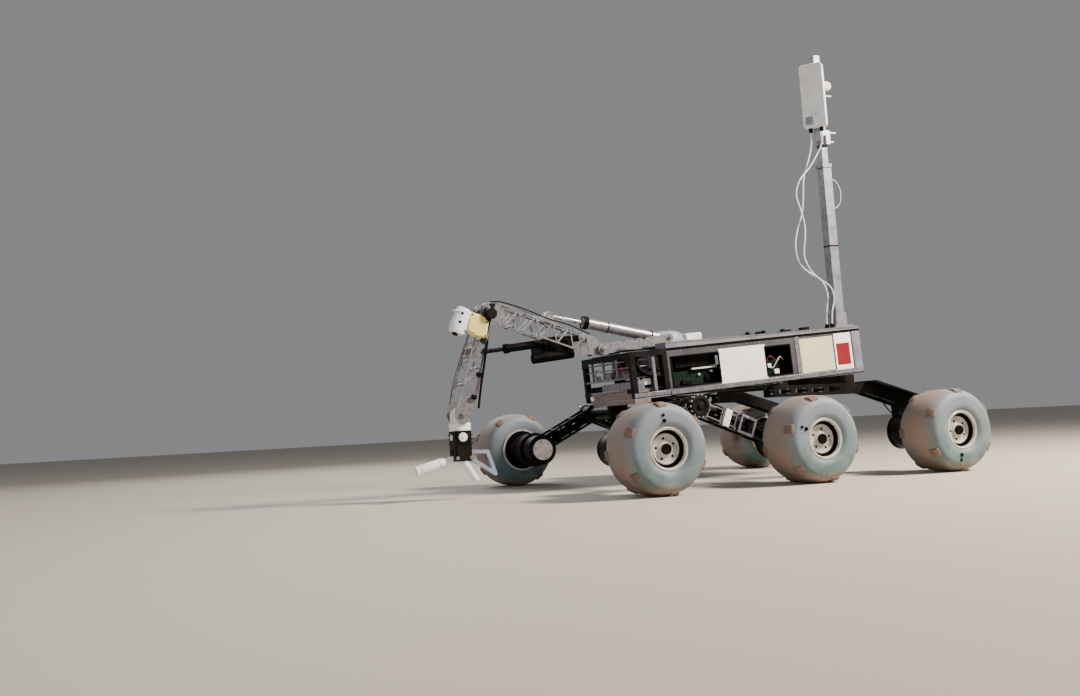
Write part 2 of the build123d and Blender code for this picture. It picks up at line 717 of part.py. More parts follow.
with BuildPart() as turret:
    with Locations(body_plane):
        with Locations((yaw_x, 0, disc_low)):
            Cylinder(turret_disc_r, turret_disc_t, align=(Align.CENTER, Align.CENTER, Align.MIN))
    for y in (turret_half_w, -turret_in):
        with BuildSketch(side_plane(y)):
            with Locations(shoulder):
                Circle(arm_boss_r + chord)
            with Locations(lift_base):
                Circle(base_eye_r + 4.0)
            with Locations(*(body_to_row(yaw_x + x, disc_high + turret_foot[1] - chord)
                             for x in (-turret_foot[0], turret_foot[0]))):
                Circle(10.0)
            make_hull()
            with Locations(*(body_to_row(yaw_x + x, disc_high + z) for x, z in turret_holes)):
                Circle(turret_hole_r, mode=Mode.SUBTRACT)
        extrude(amount=turret_plate_t)
    rod_along_y(shoulder, arm_pin_r, -turret_half_w - arm_pin_head, turret_half_w + arm_pin_head)
    rod_along_y(lift_base, base_pin_r, -turret_half_w - arm_pin_head, turret_half_w + arm_pin_head)
save(turret.part, "turret")

# Upper arm: two lattice plates, with ears for the lift rod above and bosses for the tilt tube
upper_l, upper_slope = polar(shoulder, elbow)
upper_in = upper_half_w - upper_plate_t
ear_in = eye_half_w + ear_gap
chord_mid = upper_h / 2 - chord


def lattice(length, h_from, h_to, cells, start, stop):
    """Triangular cut-outs between two tapering chords, alternately pointing up and down."""
    step = (stop - start) / cells
    for i in range(cells - 1):
        x = start + i * step
        half = (h_from + (h_to - h_from) * (x + step / 2) / length) / 2 - chord
        up = 1 if i % 2 == 0 else -1
        Polygon((x + chord / 4, -up * half), (x + 2 * step - 1.5 * chord, -up * half),
                (x + step - chord / 2, up * half), align=None, mode=Mode.SUBTRACT)


tilt_boss = local(shoulder, upper_slope, tilt_base)
lift_ear = local(shoulder, upper_slope, lift_rod)
lift_bolts = [(lift_ear[0] - ear_half, chord_mid), (lift_ear[0] + ear_half, chord_mid)]
upper_spacers = [(0.31 * upper_l, chord_mid), (0.69 * upper_l, chord_mid), (0.76 * upper_l, -chord_mid),
                 (0.88 * upper_l, chord_mid)]
with BuildPart() as upper_arm:
    for y in (upper_half_w, -upper_in):
        with BuildSketch(side_plane(y, shoulder, upper_slope)):
            with Locations((0, 0), (upper_l, 0)):
                Circle(upper_end_r)
            with Locations((upper_l / 2, 0)):
                Rectangle(upper_l - 2 * upper_taper, upper_h)
            make_hull()
            lattice(upper_l, upper_h, upper_h, 11, upper_taper, upper_l - upper_taper)
            with Locations(tilt_boss):
                Circle(arm_boss_r)
        extrude(amount=upper_plate_t)
    for y in (ear_in + ear_t, -ear_in):
        with BuildSketch(side_plane(y, shoulder, upper_slope)):
            with Locations(lift_ear):
                Circle(ear_r)
            with Locations(*lift_bolts):
                Circle(arm_spacer_r)
            make_hull()
        extrude(amount=ear_t)
    for place in upper_spacers + lift_bolts:
        rod_along_y(along(shoulder, upper_slope, *place), arm_spacer_r, -upper_half_w, upper_half_w)
    rod_along_y(tilt_base, base_pin_r, -upper_half_w, upper_half_w)
    for place in (shoulder, elbow):
        for s in sides.values():
            rod_across(s, place, arm_boss_r, upper_in, upper_half_w + 2.0)
        rod_along_y(place, arm_pin_r + arm_pin_gap, -upper_half_w - 2.0, upper_half_w + 2.0,
                    mode=Mode.SUBTRACT)
save(upper_arm.part, "upper_arm")


# Linear actuators: a tube with its rear eye, and a rod that slides in it, with its front eye

def actuator(name, base, rod_pin, tube_r, tube_l, rod_inside, motor):
    """Two parts: the tube swings on its base pin, and the rod runs in the tube's bore."""
    length, slope = polar(base, rod_pin)
    a = math.radians(slope)
    axis = Plane(origin=(row_x(base[0]), 0, base[1]), x_dir=(0, 1, 0), z_dir=(math.cos(a), 0, math.sin(a)))
    with BuildPart() as tube:
        for start, stretch, radius in ((tube_start, tube_l - tube_start, tube_r),
                                       (tube_l, collar_l, tube_r + collar_wall)):
            with BuildSketch(axis.offset(start)):
                Circle(radius)
            extrude(amount=stretch)
        rod_along_y(base, base_eye_r, -eye_half_w, eye_half_w)
        with BuildSketch(side_plane(eye_half_w, base, slope)):
            with Locations(((tube_start + 2.0) / 2, 0)):
                Rectangle(tube_start + 2.0, 2 * eye_neck)
        extrude(amount=2 * eye_half_w)
        if motor:
            with BuildSketch(axis.offset(tilt_gear[0])):
                with Locations((0, -tilt_motor_drop / 2)):
                    Rectangle(2 * tilt_motor_r, tilt_motor_drop)
                with Locations((0, -tilt_motor_drop)):
                    Circle(tilt_motor_r)
            extrude(amount=tilt_gear[1])
            with BuildSketch(axis.offset(tilt_gear[0] + tilt_gear[1])):
                with Locations((0, -tilt_motor_drop)):
                    Circle(tilt_motor_r)
            extrude(amount=tilt_motor_l)
        rod_along_y(base, base_pin_r + arm_pin_gap, -eye_half_w, eye_half_w, mode=Mode.SUBTRACT)
        with BuildSketch(axis.offset(tube_start + 4.0)):
            Circle(rod_r + rod_gap)
        extrude(amount=tube_l, mode=Mode.SUBTRACT)
    save(tube.part, name + "_tube")
    with BuildPart() as rod:
        with BuildSketch(axis.offset(length - eye_neck)):
            Circle(rod_r)
        extrude(amount=-(length - eye_neck - tube_l + rod_inside))
        rod_along_y(rod_pin, eye_r, -eye_half_w, eye_half_w)
        rod_along_y(rod_pin, base_pin_r, -eye_half_w, eye_half_w, mode=Mode.SUBTRACT)
    save(rod.part, name + "_rod")


actuator("lift", lift_base, lift_rod, lift_tube_r, lift_tube_l, lift_rod_inside, False)
actuator("tilt", tilt_base, tilt_rod, tilt_tube_r, tilt_tube_l, tilt_rod_inside, True)

# Forearm: two tapering lattice plates outside the upper arm's, with the tilt rod's ears between
fore_l, fore_slope = polar(elbow, wrist)
fore_in = fore_half_w - fore_plate_t


def fore_chord(x, side_of_line):
    """The place on a chord of the forearm at x along it, on its front (1) or rear (-1) side."""
    return (x, side_of_line * ((fore_h_top + (fore_h_low - fore_h_top) * x / fore_l) / 2 - chord))


tilt_ear = local(elbow, fore_slope, tilt_rod)
tilt_bolts = [fore_chord(tilt_ear[0] + x, 1) for x in (-4.0, ear_half)]
fore_spacers = [fore_chord(share * fore_l, s) for share, s in ((0.27, -1), (0.55, -1), (0.74, 1), (0.86, -1))]
with BuildPart() as forearm:
    for y in (fore_half_w, -fore_in):
        with BuildSketch(side_plane(y, elbow, fore_slope)):
            Circle(fore_h_top / 2)
            with Locations((fore_l, 0)):
                Circle(fore_h_low / 2)
            make_hull()
            lattice(fore_l, fore_h_top, fore_h_low, 9, 30.0, fore_l - 34.0)
        extrude(amount=fore_plate_t)
    for y in (ear_in + ear_t, -ear_in):
        with BuildSketch(side_plane(y, elbow, fore_slope)):
            with Locations(tilt_ear):
                Circle(ear_r)
            with Locations(*tilt_bolts):
                Circle(arm_spacer_r)
            make_hull()
        extrude(amount=ear_t)
    for place in fore_spacers + tilt_bolts:
        rod_along_y(along(elbow, fore_slope, *place), arm_spacer_r, -fore_half_w, fore_half_w)
    for place in (elbow, wrist):
        rod_along_y(place, arm_pin_r, -fore_half_w - arm_pin_head, fore_half_w + arm_pin_head)
save(forearm.part, "forearm")

# The elbow's box and motor on the forearm's left plate, and the camera ahead of the box
elbow_out = fore_half_w + seat_gap
with BuildPart() as elbow_box:
    with BuildSketch(side_plane(elbow_out + elbow_box_t, elbow, fore_slope)):
        with Locations((sum(elbow_box_along) / 2, sum(elbow_box_across) / 2)):
            Rectangle(elbow_box_along[1] - elbow_box_along[0], elbow_box_across[1] - elbow_box_across[0])
    extrude(amount=elbow_box_t)
    rod_along_y(along(elbow, fore_slope, *elbow_motor_at), elbow_motor[0], elbow_out, elbow_out + elbow_motor[1])
save(elbow_box.part, "elbow_box")

camera_length, camera_depth, camera_width = camera_size
with BuildPart() as camera:
    with BuildSketch(side_plane(elbow_out + (elbow_box_t + camera_width) / 2, elbow, fore_slope)):
        with Locations((sum(elbow_box_along) / 2, elbow_box_across[1] + seat_gap + camera_depth / 2)):
            RectangleRounded(camera_length, camera_depth, 8.0)
    extrude(amount=camera_width)
save(camera.part, "arm_camera")

# Wrist: a block on the forearm's pin with a round plate, on which the gripper turns
with BuildPart() as wrist_block:
    with BuildSketch(side_plane(wrist_half_w)):
        with Locations(wrist):
            Circle(wrist_block_r)
        with Locations((wrist[0], (wrist[1] + disc_top) / 2)):
            Rectangle(2 * wrist_block_r, wrist[1] - disc_top)
    extrude(amount=2 * wrist_half_w)
    with BuildSketch(Plane.XY.offset(disc_top)):
        with Locations((row_x(wrist[0]), 0)):
            Circle(wrist_disc_r)
    extrude(amount=-wrist_disc_t)
    rod_along_y(wrist, arm_pin_r + arm_pin_gap, -wrist_half_w, wrist_half_w, mode=Mode.SUBTRACT)
save(wrist_block.part, "wrist_block")

# Gripper: a housing with two swinging fingers and a fixed one
with BuildPart() as gripper:
    with BuildSketch(Plane.XY.offset(grip_top)):
        with Locations((row_x(wrist[0]), 0)):
            RectangleRounded(*grip_size, grip_corner)
    extrude(amount=-grip_l)
    for pivot, direction in ((front_pivot, 1), (claw_pivot, -1)):
        with BuildSketch(side_plane(slot_half)):
            with Locations((pivot[0] + direction * slot_shift, pivot[1])):
                Rectangle(*finger_slot)
        extrude(amount=2 * slot_half, mode=Mode.SUBTRACT)
        rod_along_y(pivot, finger_pin_r, -grip_size[1] / 2, grip_size[1] / 2)
save(gripper.part, "gripper_body")


front_slope = polar(front_pivot, front_tip)[1]
with BuildPart() as front_finger:
    with BuildSketch(side_plane(finger_half, front_pivot, front_slope)):
        strap((0, 0), (finger_root + 4.0, 0), claw_bar + 3.0)
    extrude(amount=2 * finger_half)
    root_place = along(front_pivot, front_slope, finger_root, 0.0)
    root_angle = math.radians(front_slope)
    root = Plane(origin=(row_x(root_place[0]), 0, root_place[1]), x_dir=(0, 1, 0),
                 z_dir=(math.cos(root_angle), 0, math.sin(root_angle)))
    with BuildSketch(root):
        Circle(front_finger_r[0])
    with BuildSketch(root.offset(math.dist(root_place, front_tip))):
        Circle(front_finger_r[1])
    loft()
    rod_along_y(front_pivot, finger_pin_r + arm_pin_gap, -finger_half, finger_half, mode=Mode.SUBTRACT)
save(front_finger.part, "front_finger")

with BuildPart() as claw_finger:
    with BuildSketch(side_plane(finger_half, claw_pivot)):
        for a, b in (((0, 0), claw_knuckle), (claw_knuckle, claw_elbow), (claw_elbow, claw_tip),
                     ((0, 0), claw_knee), (claw_knee, claw_tip)):
            strap(a, b, claw_bar)
    extrude(amount=2 * finger_half)
    rod_along_y(claw_pivot, finger_pin_r + arm_pin_gap, -finger_half, finger_half, mode=Mode.SUBTRACT)
save(claw_finger.part, "claw_finger")

with BuildPart() as fixed_finger:
    start = (wrist[0] - chord, grip_low - seat_gap)
    length, slope = polar(start, fixed_tip)
    a = math.radians(slope)
    foot_l = fixed_finger_r * abs(math.cos(a)) + 2.0
    with BuildSketch(Plane(origin=(row_x(start[0]), fixed_finger_y, start[1] - foot_l), x_dir=(0, 1, 0),
                           z_dir=(math.cos(a), 0, math.sin(a)))):
        Circle(fixed_finger_r)
    extrude(amount=length - foot_l)
    with BuildSketch(Plane.XY.offset(start[1])):
        with Locations((row_x(start[0]), fixed_finger_y)):
            Circle(fixed_finger_r)
    extrude(amount=-2 * foot_l)
save(fixed_finger.part, "fixed_finger")

# Mast: a foot on the lid, a lower tube, a thinner upper tube and the antenna on its clamps
lid_slope = math.atan2(lid_h_front - lid_h_rear, body_l)
foot_x = mast_from_end - half_l
foot_top = body_h + lid_h_rear + mast_from_end * math.tan(lid_slope)
mast_y = body_half_w - mast_from_side
mast_origin = body_plane.from_local_coords((foot_x, mast_y, foot_top))
foot_tilt, lean = pitch - lid_slope, math.radians(mast_lean)
foot_plane = Plane(origin=mast_origin, x_dir=(math.cos(foot_tilt), 0, -math.sin(foot_tilt)),
                   z_dir=(math.sin(foot_tilt), 0, math.cos(foot_tilt)))
mast_plane = Plane(origin=mast_origin, x_dir=(math.cos(lean), 0, -math.sin(lean)),
                   z_dir=(math.sin(lean), 0, math.cos(lean)))
foot_l, foot_w, foot_t = mast_foot
split = (mast_split_z - mast_origin.Z) / math.cos(lean)
mast_length = (mast_top_z - mast_origin.Z) / math.cos(lean)
on_floor = (Align.CENTER, Align.CENTER, Align.MIN)


def square_tube(z_from, z_to, outer, inner):
    """A square tube along the mast's axis."""
    with Locations(mast_plane):
        with Locations((0, 0, z_from)):
            Box(outer, outer, z_to - z_from, align=on_floor)
            Box(inner, inner, z_to - z_from, align=on_floor, mode=Mode.SUBTRACT)


with BuildPart() as foot:
    square_tube(foot_t / 2, mast_sleeve_h, mast_low_w + 2 * mast_sleeve_wall, mast_low_w + seat_gap)
    with Locations(foot_plane):
        Box(foot_l, foot_w, foot_t, align=on_floor)
save(foot.part, "mast_foot")

low_bore = mast_low_w - 2 * mast_wall
up_bore = mast_up_w - 2 * mast_wall
with BuildPart() as mast_low:
    square_tube(0, split, mast_low_w, low_bore)
    with Locations(foot_plane):
        Box(foot_l, foot_w, 2 * (foot_t + seat_gap), mode=Mode.SUBTRACT)
save(mast_low.part, "mast_lower")

with BuildPart() as mast_up:
    square_tube(split - mast_lap, mast_length, mast_up_w, up_bore)
    for z in (split - mast_lap, split - mast_collar):
        square_tube(z, z + mast_collar, low_bore - seat_gap, up_bore)
save(mast_up.part, "mast_upper")

# The antenna faces forward and to the left; its clamps hold the mast
turn = math.radians(antenna_turn)
facing = mast_plane.x_dir * math.cos(turn) + mast_plane.y_dir * math.sin(turn)
across_antenna = mast_plane.y_dir * math.cos(turn) - mast_plane.x_dir * math.sin(turn)
antenna_z = (antenna_mid_z - mast_origin.Z) / math.cos(lean)
antenna_back = mast_up_w / 2 + antenna_stand_off


def antenna_plane(out, across, z):
    """A plane that faces as the antenna does, a distance out from the mast's axis."""
    centre = mast_origin + mast_plane.z_dir * z + facing * out + across_antenna * across
    return Plane(origin=centre, x_dir=across_antenna, z_dir=facing)


with BuildPart() as antenna:
    with BuildSketch(antenna_plane(antenna_back, 0, antenna_z)):
        RectangleRounded(antenna_w, antenna_h, antenna_corner)
    extrude(amount=antenna_t)
save(antenna.part, "antenna")

with BuildPart() as clamps:
    for height in clamp_heights:
        z = antenna_z + height
        with Locations(antenna_plane(0, 0, z)):
            Box(mast_up_w + 3 * clamp_wall_t, clamp_h, mast_up_w + 3 * clamp_wall_t)
        with BuildSketch(antenna_plane(0, 0, z)):
            Rectangle(clamp_arm, clamp_arm)
        extrude(amount=antenna_back - clamp_wall_t)
        with Locations(mast_plane):
            with Locations((0, 0, z)):
                Box(mast_up_w + seat_gap, mast_up_w + seat_gap, 2 * clamp_h, mode=Mode.SUBTRACT)
    strut_t, strut_h = antenna_strut
    with BuildSketch(antenna_plane(antenna_back - seat_gap, 0, antenna_z + clamp_heights[1])):
        with Locations((0, (strut_h - clamp_arm) / 2)):
            Rectangle(clamp_arm, strut_h)
    extrude(amount=-clamp_wall_t)
    upper_arm_z = antenna_z + clamp_heights[0]
    with BuildSketch(antenna_plane(antenna_back - seat_gap, 0, upper_arm_z)):
        Circle(clamp_round_r)
    extrude(amount=-clamp_wall_t)
save(clamps.part, "antenna_clamps")

# Antenna cables: each leaves a socket under the antenna and enters a gland on the lid
down = -mast_plane.z_dir
antenna_mid = antenna_back + antenna_t / 2


def socket(axis):
    """A round socket that starts at axis and runs along its direction, bored for a cable."""
    with Locations(axis):
        Cylinder(socket_r, socket_h, align=on_floor)
        Cylinder(cable_d / 2 + cable_gap, socket_h, align=on_floor, mode=Mode.SUBTRACT)


def cable(name, points):
    """A round cable through the points, with arcs tangent to its straight runs."""
    runs = [(Vector(*b) - Vector(*a)) for a, b in zip(points, points[1:])]
    radii = []
    for first, second in zip(runs, runs[1:]):
        half_turn = math.radians(first.get_angle(second)) / 2
        radii.append(0.45 * min(first.length, second.length) / math.tan(half_turn))
    print(name, "runs", [round(run.length) for run in runs], "radii", [round(r) for r in radii])
    with BuildPart() as part:
        with BuildLine():
            route = FilletPolyline(*points, radius=radii)
        with BuildSketch(Plane(origin=points[0], z_dir=runs[0])):
            Circle(cable_d / 2)
        sweep(path=route)
    save(part.part, name)


sockets = [antenna_plane(antenna_mid, across, antenna_z - antenna_h / 2) for across in socket_across]
with BuildPart() as antenna_sockets:
    for plane in sockets:
        socket(Plane(origin=plane.origin + down * seat_gap, z_dir=down))
save(antenna_sockets.part, "antenna_sockets")

with BuildPart() as lid_glands:
    for route in cable_routes:
        x, y, _ = route[-1]
        lid_z = mast_origin.Z - (row_x(x) - mast_origin.X) * math.tan(foot_tilt)
        socket(Plane(origin=(row_x(x), y, lid_z + socket_r * math.tan(foot_tilt) + seat_gap / 2)))
save(lid_glands.part, "lid_glands")

for number, (plane, route) in enumerate(zip(sockets, cable_routes), 1):
    starts = [plane.origin + down * distance for distance in (socket_h / 2, socket_h / 2 + cable_drop)]
    points = [(p.X, p.Y, p.Z) for p in starts] + [(row_x(x), y, z) for x, y, z in route]
    cable("antenna_cable_" + str(number), points)
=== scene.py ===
"""Looks of a six-wheeled planetary rover prototype, made around its CAD model.

Metres, +X forward, +Y left, +Z up, the floor at z = 0. The CAD model's own sizes are repeated
here in millimetres, with x counted from the middle axle as its source counts it.
"""

import json
import math

import bmesh
import bpy
import numpy as np
from mathutils import Matrix, Vector


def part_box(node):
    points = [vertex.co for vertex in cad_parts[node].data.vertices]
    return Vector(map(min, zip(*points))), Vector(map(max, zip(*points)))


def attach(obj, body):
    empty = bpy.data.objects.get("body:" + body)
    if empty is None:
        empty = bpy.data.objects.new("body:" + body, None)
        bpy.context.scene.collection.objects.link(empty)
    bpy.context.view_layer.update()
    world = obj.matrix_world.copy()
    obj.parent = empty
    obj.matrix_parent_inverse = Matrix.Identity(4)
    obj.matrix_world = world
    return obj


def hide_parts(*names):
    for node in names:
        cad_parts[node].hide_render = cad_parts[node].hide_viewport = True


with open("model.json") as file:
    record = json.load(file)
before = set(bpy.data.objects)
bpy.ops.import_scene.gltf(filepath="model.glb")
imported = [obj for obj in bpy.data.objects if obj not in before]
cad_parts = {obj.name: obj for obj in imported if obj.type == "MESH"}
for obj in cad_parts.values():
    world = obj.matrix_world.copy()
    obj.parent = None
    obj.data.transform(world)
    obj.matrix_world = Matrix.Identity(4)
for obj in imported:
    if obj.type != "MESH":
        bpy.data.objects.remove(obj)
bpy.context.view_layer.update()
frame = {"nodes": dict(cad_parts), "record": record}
nodes = frame["nodes"]

MM = 0.001
MID_AXLE_X = (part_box("rim_middle_left")[0].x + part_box("rim_middle_left")[1].x) / 2
SIDES = {"left": 1, "right": -1}


def vector(x, y, z):
    """A vector in metres from millimetres."""
    return Vector((x * MM, y * MM, z * MM))


def place(x, y, z):
    """A point in metres from millimetres, with x counted from the middle axle."""
    return Vector((MID_AXLE_X + x * MM, y * MM, z * MM))


def link(name, data):
    """A new object of the scene."""
    thing = bpy.data.objects.new(name, data)
    bpy.context.scene.collection.objects.link(thing)
    return thing


# Camera

CAMERA_AT = place(2360.7, 3684.9, 241.2)
CAMERA_YAW, CAMERA_PITCH, CAMERA_ROLL = 0.4168, 0.0720, -0.0533    # radians
CAMERA_FOCUS_PX = 1090.5
IMAGE_WIDE = 1080
SENSOR = 36.0


def make_camera():
    """A level camera turned by yaw, pitched up, then rolled about its own line of sight."""
    sight = Vector((-math.sin(CAMERA_YAW) * math.cos(CAMERA_PITCH),
                    -math.cos(CAMERA_YAW) * math.cos(CAMERA_PITCH), math.sin(CAMERA_PITCH)))
    level = sight.cross(Vector((0, 0, 1))).normalized()
    up = level.cross(sight)
    right = math.cos(CAMERA_ROLL) * level + math.sin(CAMERA_ROLL) * up
    top = right.cross(sight)
    data = bpy.data.cameras.new("photo_camera")
    data.sensor_width = SENSOR
    data.lens = CAMERA_FOCUS_PX * SENSOR / IMAGE_WIDE
    camera = link("photo_camera", data)
    axes = Matrix((right, top, -sight)).transposed().to_4x4()
    camera.matrix_world = Matrix.Translation(CAMERA_AT) @ axes
    bpy.context.scene.camera = camera


# Materials

SOIL = "#C4916A"


def linear(hex_colour):
    """An sRGB hex colour as linear red, green, blue and 1."""
    c = np.array([int(hex_colour[i:i + 2], 16) for i in (1, 3, 5)]) / 255
    return (*np.where(c <= 0.04045, c / 12.92, ((c + 0.055) / 1.055) ** 2.4), 1.0)


def add(tree, kind, settings=None, links=None):
    """A new shader node with its settings, which are sockets or properties, and its incoming links."""
    node = tree.nodes.new("ShaderNode" + kind)
    for key, value in (settings or {}).items():
        if isinstance(key, int) or key in node.inputs:
            node.inputs[key].default_value = value
        else:
            setattr(node, key, value)
    for key, socket in (links or {}).items():
        tree.links.new(socket, node.inputs[key])
    return node


def noise(tree, spot, size_mm, detail=4.0):
    """Cloudy noise whose patches are about size_mm across."""
    return add(tree, "TexNoise", {"Scale": 1.0 / (size_mm * MM), "Detail": detail},
               {"Vector": spot}).outputs["Fac"]


def ramp(tree, value, low, high, to_low=0.0, to_high=1.0):
    """A value stretched from low..high to to_low..to_high, and held at the ends."""
    return add(tree, "MapRange", {1: low, 2: high, 3: to_low, 4: to_high}, {0: value}).outputs[0]


def times(tree, a, b):
    """The product of two sockets."""
    return add(tree, "Math", {"operation": "MULTIPLY"}, {0: a, 1: b}).outputs[0]


def mix(tree, share, a, b):
    """Colour a where the share is 0 and b where it is 1; each is a socket or a hex colour."""
    ends = {6: a, 7: b}
    plain = {key: linear(end) for key, end in ends.items() if isinstance(end, str)}
    linked = {key: end for key, end in ends.items() if key not in plain}
    return add(tree, "Mix", {"data_type": "RGBA", **plain}, {0: share, **linked}).outputs[2]


def emboss(tree, shader, spot, strength, depth_mm, grain_mm):
    """Fine relief on a shader, with a depth and a grain in millimetres."""
    bump = add(tree, "Bump", {"Strength": strength, "Distance": depth_mm * MM},
               {"Height": noise(tree, spot, grain_mm)})
    tree.links.new(bump.outputs["Normal"], shader.inputs["Normal"])


def new_material(name):
    """A new material, its node tree and its shader."""
    material = bpy.data.materials.new(name)
    material.use_nodes = True
    return material, material.node_tree, material.node_tree.nodes["Principled BSDF"]


DUST_PATCH_MM, DUSTY_ROUGHNESS, RELIEF_MM = 45.0, 0.85, 1.2


def finish(name, colour, worn, rough, metal=0.0, wear_mm=20.0, relief=0.15, dust=0.35, shine=0.3):
    """A base colour with worn patches, fine relief, and dry soil that settles on what faces up."""
    material, tree, shader = new_material(name)
    spot = add(tree, "TexCoord").outputs["Object"]
    body = mix(tree, ramp(tree, noise(tree, spot, wear_mm), 0.42, 0.66), colour, worn)
    normal = add(tree, "NewGeometry").outputs["Normal"]
    up = add(tree, "SeparateXYZ", links={0: normal}).outputs["Z"]
    patches = ramp(tree, noise(tree, spot, DUST_PATCH_MM, 6.0), 0.40, 0.72, 0.0, dust)
    settled = times(tree, ramp(tree, up, -0.3, 1.0, 0.03, 1.0), patches)
    tree.links.new(mix(tree, settled, body, SOIL), shader.inputs["Base Color"])
    tree.links.new(ramp(tree, settled, 0.0, 0.6, rough, DUSTY_ROUGHNESS), shader.inputs["Roughness"])
    shader.inputs["Metallic"].default_value = metal
    shader.inputs["Specular IOR Level"].default_value = shine
    emboss(tree, shader, spot, relief, RELIEF_MM, RELIEF_MM * 3)
    return material


WHEEL_Y, TYRE_HALF_W = 605.0, 92.5
SKIN_PATCH_MM = 60.0


def tyre_rubber():
    """Cast soft polyurethane skin: grey-blue, with painted shade that turns it darker and greener towards
    the bottom, and orange soil rubbed into the tread.
    """
    material, tree, shader = new_material("soft_polyurethane_skin")
    spot = add(tree, "TexCoord").outputs["Object"]
    axes = add(tree, "SeparateXYZ", links={0: spot})
    cloud, height, across = noise(tree, spot, SKIN_PATCH_MM, 5.0), axes.outputs["Z"], axes.outputs["Y"]
    # painted shade: the skin runs from dark green-grey at the bottom of the tyre to grey-blue above
    skin = mix(tree, ramp(tree, height, 0.03, 0.22), "#3E5C58", "#6F7880")
    skin = mix(tree, ramp(tree, cloud, 0.40, 0.66, 0.0, 0.35), skin, "#868C94")
    # the distance from the wheel's middle plane is ||y| - WHEEL_Y|
    for settings in ({"operation": "ABSOLUTE"}, {"operation": "SUBTRACT", 1: WHEEL_Y * MM},
                     {"operation": "ABSOLUTE"}):
        across = add(tree, "Math", settings, {0: across}).outputs[0]
    tread = times(tree, ramp(tree, across, TYRE_HALF_W * MM * 0.95, TYRE_HALF_W * MM * 0.45),
                  ramp(tree, cloud, 0.30, 0.66, 0.45, 0.90))
    low = times(tree, ramp(tree, height, 0.05, 0.0), ramp(tree, cloud, 0.35, 0.65, 0.1, 0.6))
    dirty = mix(tree, tread, skin, "#8F7565")
    tree.links.new(mix(tree, low, dirty, SOIL), shader.inputs["Base Color"])
    shader.inputs["Roughness"].default_value = 0.62
    emboss(tree, shader, spot, 0.2, 1.0, 3.0)
    return material


